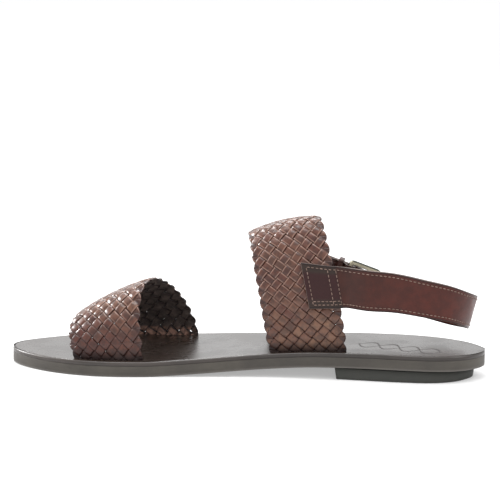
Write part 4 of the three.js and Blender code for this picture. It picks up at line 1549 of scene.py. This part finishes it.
class Ribbon:
    """Smooth ribbon through sections of points from its lower edge to its upper edge."""

    def __init__(self, sections: Sequence[Sequence[Vector]], thickness: float, samples: int = 400) -> None:
        """Measures the ribbon along its middle.

        Args:
            sections: rows of points, all with the same count.
            thickness: thickness of the leather.
            samples: how finely its length is measured.
        """
        self.sections = sections
        self.thickness = thickness
        self.lanes = len(sections[0])
        self.middle = Polyline([self.surface(i / samples, 0.5) for i in range(samples + 1)])
        self.samples = samples

    @property
    def length(self) -> float:
        """Length of its middle."""
        return self.middle.length

    def _track(self, lane: int, u: float) -> Vector:
        """Point of one lane's smooth curve: centripetal, through every section.

        Args:
            lane: number of the lane.
            u: share of the way through the sections.

        Returns:
            The point.
        """
        points = [section[lane] for section in self.sections]
        last = len(points) - 1
        spot = min(last, max(0.0, u * last))
        k = min(last - 1, int(spot))
        t = spot - k
        p1 = points[k]
        p2 = points[k + 1]
        p0 = points[k - 1] if k > 0 else 2 * p1 - p2
        p3 = points[k + 2] if k + 2 <= last else 2 * p2 - p1
        d0 = max(1e-6, math.sqrt((p1 - p0).length))
        d1 = max(1e-6, math.sqrt((p2 - p1).length))
        d2 = max(1e-6, math.sqrt((p3 - p2).length))
        start = ((p1 - p0) / d0 - (p2 - p0) / (d0 + d1) + (p2 - p1) / d1) * d1
        end = ((p2 - p1) / d1 - (p3 - p1) / (d1 + d2) + (p3 - p2) / d2) * d1
        square = t * t
        cube = square * t
        return (
            p1 * (2 * cube - 3 * square + 1) + start * (cube - 2 * square + t)
            + p2 * (3 * square - 2 * cube) + end * (cube - square)
        )

    def surface(self, u: float, v: float, off: float = 0.0) -> Vector:
        """Point of the ribbon.

        Args:
            u: share of the way through the sections.
            v: share of the way from the lower edge to the upper edge.
            off: height above the middle of the leather, positive on its outer side.

        Returns:
            The point.
        """
        spot = min(self.lanes - 1.0, max(0.0, v * (self.lanes - 1)))
        lane = min(self.lanes - 2, int(spot))
        point = self._track(lane, u).lerp(self._track(lane + 1, u), spot - lane)
        if off:
            point = point + self.outward(u, v) * off
        return point

    def outward(self, u: float, v: float) -> Vector:
        """Direction of the outer face."""
        return self.along(u, v).cross(self._across(u)).normalized()

    def along(self, u: float, v: float) -> Vector:
        """Direction of the ribbon's length."""
        step = 0.002
        return (self.surface(min(1, u + step), v) - self.surface(max(0, u - step), v)).normalized()

    def _across(self, u: float) -> Vector:
        """Direction from the lower edge to the upper edge."""
        return (self._track(self.lanes - 1, u) - self._track(0, u)).normalized()

    def width(self, u: float) -> float:
        """Width of the ribbon."""
        return (self._track(self.lanes - 1, u) - self._track(0, u)).length

    def share_at(self, mark: float) -> float:
        """Share of the way through the sections at a distance along the middle.

        Args:
            mark: the distance.

        Returns:
            The share.
        """
        marks = self.middle.marks
        k = min(len(marks) - 2, max(0, bisect.bisect_right(marks, mark) - 1))
        t = (mark - marks[k]) / (marks[k + 1] - marks[k])
        return (k + t) / self.samples

    def mesh(
        self, name: str, steps: int, lanes: int, patch: float, opening: Callable[[Vector], bool],
    ) -> bpy.types.Object:
        """Sheet of the ribbon's middle, with its run and side at each point.

        Args:
            name: name of the object.
            steps: faces along it.
            lanes: faces across it.
            patch: length of the darker patch at its start.
            opening: tells whether a point lies in the room that is left open.

        Returns:
            The sheet.
        """
        bm = bmesh.new()
        run = bm.verts.layers.float.new("strap_run")
        side = bm.verts.layers.float.new("strap_side")
        shade = bm.verts.layers.float.new("patch")
        bmesh.ops.create_grid(bm, x_segments=steps, y_segments=lanes, size=0.5)
        for vert in bm.verts:
            mark = (vert.co.x + 0.5) * self.length
            v = vert.co.y + 0.5
            vert[run] = mark
            vert[side] = 2 * v - 1
            vert[shade] = 1 - smoothstep((mark - patch) / (1 * MM)) if patch else 0.0
            vert.co = self.surface(self.share_at(mark), v)
        open_faces = [face for face in bm.faces if opening(face.calc_center_median())]
        bmesh.ops.delete(bm, geom=open_faces, context="FACES")
        return finished(bm, name)


@dataclass
class Seam:
    """Row of stitches on one face of a ribbon."""

    ribbon: Ribbon
    pitch: float = 2.3 * MM
    stitch: float = 1.8 * MM
    thread: float = 0.27 * MM
    sink: float = 0.08 * MM

    def _stitch(self, bm: bmesh.types.BMesh, start: Vector, end: Vector, out: Vector) -> None:
        """Adds one stitch between two points, lying flat on the leather.

        Args:
            bm: mesh of all the stitches.
            start: its first end.
            end: its other end.
            out: direction away from the leather.
        """
        along = (end - start).normalized()
        beside = out.cross(along).normalized()
        lift = along.cross(beside)
        middle = (start + end) / 2
        turn = Matrix((along, beside, lift)).transposed().to_4x4()
        size = Matrix.Diagonal((self.stitch / 2, self.thread, self.thread, 1))
        matrix = Matrix.Translation(middle) @ turn @ size
        bmesh.ops.create_uvsphere(bm, u_segments=8, v_segments=6, radius=1, matrix=matrix)

    def along(self, bm: bmesh.types.BMesh, start: float, end: float, inset: float, face: int) -> None:
        """Adds a row along the ribbon.

        Args:
            bm: mesh of all the stitches.
            start: distance along the ribbon of the first stitch.
            end: distance along it of the last stitch.
            inset: distance from the lower edge, or from the upper edge where negative.
            face: 1 for the outer face, -1 for the inner face.
        """
        count = max(1, round((end - start) / self.pitch))
        off = face * (self.ribbon.thickness / 2 + self.thread - self.sink)
        for i in range(count):
            middle = start + (i + 0.5) * (end - start) / count
            points = []
            for mark in (middle - self.stitch / 2, middle + self.stitch / 2):
                u = self.ribbon.share_at(mark)
                v = inset / self.ribbon.width(u)
                points.append(self.ribbon.surface(u, v if inset > 0 else 1 + v, off))
            u = self.ribbon.share_at(middle)
            self._stitch(bm, points[0], points[1], self.ribbon.outward(u, 0.5) * face)

    def across(self, bm: bmesh.types.BMesh, mark: float, low: float, high: float, face: int) -> None:
        """Adds a row across the ribbon, between two insets from its lower and upper edges.

        Args:
            bm: mesh of all the stitches.
            mark: distance along the ribbon.
            low: inset from the lower edge.
            high: inset from the upper edge.
            face: 1 for the outer face, -1 for the inner face.
        """
        u = self.ribbon.share_at(mark)
        width = self.ribbon.width(u)
        span = width - low - high
        count = max(1, round(span / self.pitch))
        off = face * (self.ribbon.thickness / 2 + self.thread - self.sink)
        for i in range(count):
            middle = low + (i + 0.5) * span / count
            ends = [(middle + half * self.stitch / 2) / width for half in (-1, 1)]
            points = [self.ribbon.surface(u, v, off) for v in ends]
            self._stitch(bm, points[0], points[1], self.ribbon.outward(u, 0.5) * face)


@dataclass
class HeelStrap:
    """Heel strap and buckle tab with their seams, laid round the brass buckle."""

    band: BandForm
    lanes: int = 9
    strap_thickness: float = 2.4 * MM
    strap_width: float = 22.5 * MM
    strap_height: float = 50 * MM
    seat_length: float = 15 * MM
    free_end: float = 14 * MM
    rise_setback: float = 3.5 * MM
    opening_width: float = 56 * MM
    buckle_bar: float = 2.4 * MM
    buckle_length: float = 16.6 * MM
    buckle_bevel: float = 0.45 * MM
    buckle_clearance: float = 0.8 * MM
    buckle_behind_foot: float = 15.25 * MM
    buckle_inset: float = 0.75 * MM
    buckle_height: float = 44 * MM
    buckle_slope: float = math.radians(19)
    prong_width: float = 2.2 * MM
    prong_thickness: float = 1.2 * MM
    prong_hole_setback: float = 2.2 * MM
    tab_width: float = 17.1 * MM
    tab_thickness: float = 1.4 * MM
    tab_seat: float = 17 * MM
    tab_return: float = 8 * MM
    keeper_from_bar: float = 4.3 * MM
    braid_outside: float = 1.7 * MM
    curved_gap: float = 0.45 * MM
    edge_rounding: float = 0.55 * MM
    seam_inset: float = 2.1 * MM
    seam_start: float = 2.8 * MM
    seam_from_end: float = 2.2 * MM
    box_past_seat: float = 3.2 * MM
    box_row_gap: float = 4.2 * MM
    double_row_gap: float = 1.9 * MM
    tab_seam_inset: float = 2 * MM
    tab_seam_setback: float = 6 * MM
    strap_steps: int = 260
    tab_steps: int = 140
    leather_lanes: int = 24

    def __post_init__(self) -> None:
        """Works out the buckle's own axes and levels."""
        slope = self.buckle_slope
        self.forward = Vector((-math.cos(slope), 0, math.sin(slope)))
        self.out = Vector((0, 1, 0))
        self.up = self.out.cross(self.forward)
        sole = self.band.sole
        foot = self.band.foot(self.band.edges[1].outer_at, Side.OUTER)
        x = foot.x + self.buckle_behind_foot
        self.buckle = Vector((x, foot.y - self.buckle_inset, self.buckle_height))
        self.hinge = self.buckle_length / 2
        half = self.buckle_bar / 2
        self.half_bar = half
        self.under = -(half + sole.gap + self.strap_thickness / 2)
        bar_reach = math.hypot(half, half - self.buckle_bevel)
        self.tab_level = bar_reach + sole.gap + self.tab_thickness / 2
        self.over = self.tab_level + self.tab_thickness / 2 + sole.gap + self.strap_thickness / 2

    def _lane_shares(self) -> list[float]:
        """Places across a strap as shares of its width."""
        return [lane / (self.lanes - 1) - 0.5 for lane in range(self.lanes)]

    def _flat(self, centre: Vector, width: float, facing: float, tilt: float) -> list[Vector]:
        """Straight section whose outer face looks toward facing and leans by tilt, in degrees.

        Args:
            centre: middle of the section.
            width: its width.
            facing: direction of its outer face round the vertical, in degrees from +X.
            tilt: how far its upper edge leans that way, in degrees.

        Returns:
            Its points, from the lower edge up.
        """
        turn = math.radians(facing)
        lean = math.radians(tilt)
        up = Vector((math.cos(turn) * math.sin(lean), math.sin(turn) * math.sin(lean), math.cos(lean)))
        return [centre + up * (width * share) for share in self._lane_shares()]

    def _seat(self, side: Side, across: float, height: float, width: float, off: float) -> list[Vector]:
        """Section that lies on one side of the instep band.

        Args:
            side: side of the band.
            across: share of the way from the band's front edge to its rear edge.
            height: distance of its middle up the band from the foot.
            width: its width.
            off: height above the band's middle surface.

        Returns:
            Its points, from the lower edge up.
        """
        length = lerp(self.band.front.length, self.band.rear.length, across)
        section = []
        for share in self._lane_shares():
            up = (height + width * share) / length
            section.append(self.band.point(up if side is Side.INNER else 1 - up, across, off))
        return section

    def _by_buckle(self, forward: float, out: float, width: float) -> list[Vector]:
        """Straight section in the buckle's own axes."""
        centre = self.buckle + self.forward * forward + self.out * out
        return [centre + self.up * (width * share) for share in self._lane_shares()]

    def _outer_height(self, across: float) -> float:
        """Distance up the band's outer side at which it meets the buckle's slope.

        Args:
            across: share of the way from the band's front edge to its rear edge.

        Returns:
            The distance.
        """
        length = lerp(self.band.front.length, self.band.rear.length, across)
        up = 0.0
        for _ in range(6):
            spot = self.band.point(1 - up / length, across)
            up += self.buckle_height + (self.buckle.x - spot.x) * math.tan(self.buckle_slope) - spot.z
        return up

    def strap_ribbon(self) -> Ribbon:
        """Strap from its sewn end round the heel to its free end.

        Returns:
            The strap's ribbon.
        """
        band = self.band
        sole = band.sole
        off = self.braid_outside + self.curved_gap + self.strap_thickness / 2
        sections = []
        for row in STRAP_SEAT:
            across = 1 - (1 - row.seat) * self.seat_length / band.width
            width = row.width * self.strap_width
            sections.append(self._seat(Side.INNER, across, row.height * self.strap_height, width, off))
        for row in STRAP_ROUTE:
            centre = Vector((
                sole.x_at(row.at),
                row.side * self.opening_width / 2 + sole.side_shift,
                row.height * self.strap_height,
            ))
            sections.append(self._flat(centre, row.width * self.strap_width, row.facing, row.tilt))
        hinge = self.hinge
        sections.append(self._by_buckle(-hinge - self.half_bar, self.under, self.tab_width))
        sections.append(self._by_buckle(-hinge + self.buckle_bar, self.under, self.tab_width))
        sections.append(self._by_buckle(hinge - self.rise_setback, self.over - 2 * sole.gap, self.tab_width))
        sections.append(self._by_buckle(hinge, self.over, self.tab_width))
        sections.append(self._by_buckle(hinge + self.tab_return, self.over, self.tab_width))
        over = self.braid_outside + 2 * self.curved_gap + self.tab_thickness + self.strap_thickness / 2
        for row in FREE_END:
            across = 1 - row.seat * self.free_end / band.width
            height = self._outer_height(across)
            sections.append(self._seat(Side.OUTER, across, height, row.width * self.tab_width, over))
        return Ribbon(sections, self.strap_thickness)

    def tab_ribbon(self) -> Ribbon:
        """Tab from the band round the buckle's hinge bar and back.

        Returns:
            The tab's ribbon.
        """
        off = self.braid_outside + self.curved_gap + self.tab_thickness / 2
        sections = []
        for row in TAB_SEAT:
            across = 1 - row.seat * self.tab_seat / self.band.width
            sections.append(self._seat(Side.OUTER, across, self._outer_height(across), self.tab_width, off))
        level = self.tab_level
        width = self.tab_width
        gap = self.band.sole.gap
        sections.append(self._by_buckle(self.hinge + self.tab_return, level, width))
        sections.append(self._by_buckle(self.hinge + self.tab_return / 2, level, width))
        for degrees in range(0, 181, 30):
            turn = math.radians(degrees)
            forward = self.hinge - level * math.sin(turn)
            sections.append(self._by_buckle(forward, level * math.cos(turn), width))
        behind = level - self.tab_thickness - gap
        sections.append(self._by_buckle(self.hinge + self.half_bar + gap, -level, width))
        sections.append(self._by_buckle(self.hinge + self.keeper_from_bar - gap, behind, width))
        sections.append(self._by_buckle(self.hinge + self.tab_return, behind, width))
        return Ribbon(sections, self.tab_thickness)

    def _prong_room(self, ahead: float, level: float, reach: float, depth: float) -> Callable[[Vector], bool]:
        """Room for the prong in the leather: a box in the buckle's own axes.

        Args:
            ahead: how far forward its middle lies.
            level: how far outward its middle lies.
            reach: half its length.
            depth: half its depth.

        Returns:
            A test that tells whether a point lies in it.
        """
        side = self.prong_width / 2 + self.band.sole.gap

        def inside(point: Vector) -> bool:
            """Tells whether a point lies in the room.

            Args:
                point: the point.

            Returns:
                True in the room.
            """
            local = point - self.buckle
            near = abs(local.dot(self.forward) - ahead) < reach and abs(local.dot(self.out) - level) < depth
            return near and abs(local.dot(self.up)) < side

        return inside

    def _leather(
        self, ribbon: Ribbon, name: str, node: str, steps: int, patch: float,
        opening: Callable[[Vector], bool],
    ) -> bpy.types.Object:
        """Strap or tab with rounded edges.

        Args:
            ribbon: shape of the leather.
            name: name of the piece.
            node: CAD node that it takes the place of.
            steps: faces along it.
            patch: length of the darker patch at its start.
            opening: tells whether a point lies in the room that is left open.

        Returns:
            The piece.
        """
        piece = ribbon.mesh(name, steps, self.leather_lanes, patch, opening)
        solidify(piece, ribbon.thickness, 1)
        bevel(piece, min(self.edge_rounding, 0.35 * ribbon.thickness), 3)
        dress(piece, Slot.STRAP, STRAP.build(), STRAP_EDGE.build())
        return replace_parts(piece, node)

    def _seams(self, strap: Ribbon, tab: Ribbon) -> bpy.types.Object:
        """All the stitches: two rows along the strap, a box on its sewn end, and the tab's rows.

        Args:
            strap: the strap's ribbon.
            tab: the tab's ribbon.

        Returns:
            The stitches.
        """
        bm = bmesh.new()
        seam = Seam(strap)
        inset = self.seam_inset
        start = self.seam_start
        box_end = self.seat_length + self.box_past_seat
        last = strap.length - self.seam_from_end
        for face in (1, -1):
            seam.along(bm, box_end if face < 0 else start, last, inset, face)
            seam.along(bm, box_end if face < 0 else start, last, -inset, face)
        seam.along(bm, start, box_end, inset + self.double_row_gap, 1)
        seam.across(bm, start, inset, inset, 1)
        seam.across(bm, box_end - self.box_row_gap, inset, inset, 1)
        seam.across(bm, box_end, inset, inset, 1)
        seam.across(bm, last, inset, inset, 1)
        rows = Seam(tab)
        for mark in (self.tab_seam_inset, self.tab_seat - self.tab_seam_setback):
            rows.across(bm, mark, self.tab_seam_inset, self.tab_seam_inset, 1)
        return dress(finished(bm, "strap_stitches"), Slot.STRAP, THREAD.build())

    def build(self) -> Iterator[bpy.types.Object]:
        """Makes the strap, the tab and their seams.

        Returns:
            The pieces, one after the other.
        """
        strap = self.strap_ribbon()
        tab = self.tab_ribbon()
        gap = self.band.sole.gap
        level = self.half_bar + gap + self.prong_thickness / 2
        depth = (self.prong_thickness + self.strap_thickness) / 2 + gap
        hole = self._prong_room(-self.prong_hole_setback, level, self.buckle_length / 2, depth)
        reach = self.tab_level + self.tab_thickness / 2 + gap
        notch = self._prong_room(self.hinge, 0.0, reach, 2 * self.tab_level)
        box_end = self.seat_length + self.box_past_seat
        yield self._leather(strap, "strap_leather_body", "heel_strap", self.strap_steps, box_end, hole)
        yield self._leather(tab, "tab_leather_body", "buckle_tab", self.tab_steps, 0.0, notch)
        yield self._seams(strap, tab)


@dataclass(frozen=True)
class CadNode:
    """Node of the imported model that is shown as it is, with a better finish."""

    name: str
    finish: Finish

    def build(self, nodes: dict) -> bpy.types.Object:
        """Swaps its material.

        Args:
            nodes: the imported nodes, by name.

        Returns:
            The node's object.
        """
        piece = nodes[self.name]
        piece.data.materials.clear()
        piece.data.materials.append(self.finish.build())
        return piece


@dataclass(frozen=True)
class SoftBox:
    """Soft light: its name, place, width, height and power in watts."""

    name: str
    at: Place
    width: float
    height: float
    power: float

    def hang(self, target: Vector) -> bpy.types.Object:
        """Hangs it up so that it looks at a target.

        Args:
            target: what it looks at.

        Returns:
            The light.
        """
        data = bpy.data.lights.new(self.name, "AREA")
        data.shape = "RECTANGLE"
        data.size = self.width
        data.size_y = self.height
        data.energy = self.power
        light = bpy.data.objects.new(self.name, data)
        bpy.context.scene.collection.objects.link(light)
        light.location = self.at
        light.rotation_euler = (target - Vector(self.at)).to_track_quat("-Z", "Y").to_euler()
        return light


SOFT_BOXES = (
    SoftBox("overhead", (-0.1, -0.15, 1.2), 0.9, 0.35, 6.5),
    SoftBox("toe_side", (-1.2, 0.35, 0.62), 0.46, 0.4, 18),
    SoftBox("rear_top", (-0.4, 1.0, 1.15), 0.6, 0.35, 6.5),
    SoftBox("heel_side", (0.9, -0.05, 1.15), 0.35, 0.3, 5),
)


@dataclass
class Studio:
    """Pale floor, soft lights and the camera at the photograph's angle."""

    yaw: float = math.radians(8.94)
    pitch: float = math.radians(8.75)
    roll: float = math.radians(0.45)
    camera_at: tuple[float, float, float] = (184.02 * MM, -1161.88 * MM, 246.98 * MM)
    focal_pixels: float = 2142.0
    frame_pixels: float = 500.0
    sensor: float = 36.0
    floor_size: float = 60.0
    floor_grey: float = 0.55
    floor_glow: float = 0.36
    surroundings: float = 1.14
    lit_at: Place = (0.0, 0.0, 0.04)

    def camera(self, side_shift: float) -> bpy.types.Object:
        """Camera that looks down on the inner side of the shoe.

        Args:
            side_shift: how far the part's frame lies from the sole's own middle line.

        Returns:
            The camera.
        """
        data = bpy.data.cameras.new("camera")
        data.sensor_width = self.sensor
        data.lens = self.focal_pixels / self.frame_pixels * self.sensor
        data.clip_end = 100
        ahead = Vector((-math.sin(self.yaw), math.cos(self.yaw), 0))
        right = Vector((math.cos(self.yaw), math.sin(self.yaw), 0))
        forward = ahead * math.cos(self.pitch) - Vector((0, 0, math.sin(self.pitch)))
        up = right.cross(forward)
        rolled_right = right * math.cos(self.roll) + up * math.sin(self.roll)
        rolled_up = up * math.cos(self.roll) - right * math.sin(self.roll)
        turn = Matrix((rolled_right, rolled_up, -forward)).transposed().to_4x4()
        camera = bpy.data.objects.new("camera", data)
        bpy.context.scene.collection.objects.link(camera)
        place = Vector(self.camera_at) + Vector((0, side_shift, 0))
        camera.matrix_world = Matrix.Translation(place) @ turn
        bpy.context.scene.camera = camera
        return camera

    def floor(self) -> bpy.types.Object:
        """Pale floor.

        Returns:
            The floor.
        """
        bm = bmesh.new()
        bmesh.ops.create_grid(bm, x_segments=1, y_segments=1, size=self.floor_size / 2)
        floor = finished(bm, "floor", smooth=False)
        material = bpy.data.materials.new("floor")
        material.use_nodes = True
        shader = material.node_tree.nodes["Principled BSDF"]
        shader.inputs["Base Color"].default_value = (self.floor_grey, self.floor_grey, self.floor_grey, 1)
        shader.inputs["Emission Color"].default_value = (1, 1, 1, 1)
        shader.inputs["Emission Strength"].default_value = self.floor_glow
        shader.inputs["Roughness"].default_value = 0.9
        shader.inputs["Specular IOR Level"].default_value = 0.1
        floor.data.materials.append(material)
        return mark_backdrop(floor) or floor

    def light(self) -> None:
        """White surroundings and four soft boxes: overhead, at the toe, behind and at the heel."""
        world = bpy.data.worlds.new("studio")
        world.use_nodes = True
        shader = world.node_tree.nodes["Background"]
        shader.inputs["Color"].default_value = (1, 1, 1, 1)
        shader.inputs["Strength"].default_value = self.surroundings
        bpy.context.scene.world = world
        bpy.context.scene.view_settings.view_transform = "Standard"
        for box in SOFT_BOXES:
            box.hang(Vector(self.lit_at))

    def build(self, side_shift: float) -> None:
        """Sets up the studio.

        Args:
            side_shift: how far the part's frame lies from the sole's own middle line.
        """
        self.camera(side_shift)
        self.floor()
        self.light()


def side_shift_of(length_rows: Sequence[OutlineRow], ball_width: float) -> float:
    """Distance from the sole's own middle line to the part's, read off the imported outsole.

    Args:
        length_rows: rows of the sole's outline.
        ball_width: width of the sole at the ball of the foot.

    Returns:
        The distance along +Y.
    """
    low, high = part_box("outsole")
    centre = TableCurve(length_rows, "centre", turn_of)
    half = TableCurve(length_rows, "half", turn_of)
    shares = [i / 1000 for i in range(1001)]
    inner = min(centre(at) - half(at) for at in shares)
    outer = max(centre(at) + half(at) for at in shares)
    return (low.y + high.y) / 2 - ball_width * (inner + outer) / 2


def report(piece: bpy.types.Object) -> None:
    """Logs a piece and its face count."""
    LOG.info("%s: %d faces", piece.name, len(piece.data.polygons))


def main() -> None:
    """Builds the sandal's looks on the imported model."""
    logging.basicConfig(level=logging.INFO, format="%(name)s %(message)s")
    # noise_vector takes its offsets from the clock unless it is seeded.
    noise.seed_set(NOISE_SEED)
    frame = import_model()
    cad_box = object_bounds()
    shift = side_shift_of(OUTLINE, BALL_WIDTH)
    LOG.info("side shift %.3f mm", shift / MM)
    form = SoleForm(side_shift=shift)
    Studio().build(shift)
    sole = Sole(form)
    report(sole.outsole())
    report(sole.insole())
    report(sole.heel())
    toe = BandForm(form, TOE_EDGES, TOE_BAND_HEIGHT, TOE_BAND_BULGE, foot_bulge=1.0)
    instep = BandForm(form, INSTEP_EDGES, INSTEP_BAND_HEIGHT, INSTEP_BAND_BULGE, foot_bulge=0.0)
    report(Braid("toe_band", toe, TOE_BRAID_SEED, TOE_BRAID, TOE_EDGE).build())
    report(Braid("instep_band", instep, INSTEP_BRAID_SEED, INSTEP_BRAID, INSTEP_EDGE).build())
    strap = HeelStrap(instep)
    for piece in strap.build():
        report(piece)
    buckle_finish = replace(
        FRAME_BRASS, centre=tuple(strap.buckle), slope=strap.buckle_slope,
        half_length=strap.hinge + strap.half_bar,
        half_width=strap.tab_width / 2 + strap.buckle_clearance + strap.buckle_bar,
    )
    finishes = {"buckle_frame": buckle_finish, "buckle_prong": PRONG_BRASS, "strap_keeper": LOOP}
    for name, finish in finishes.items():
        report(CadNode(name, finish).build(frame["nodes"]))
    boxes = {"cad": cad_box, "visual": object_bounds()}
    {name: [list(corner) for corner in box] for name, box in boxes.items()}


if __name__ == "__main__":
    main()
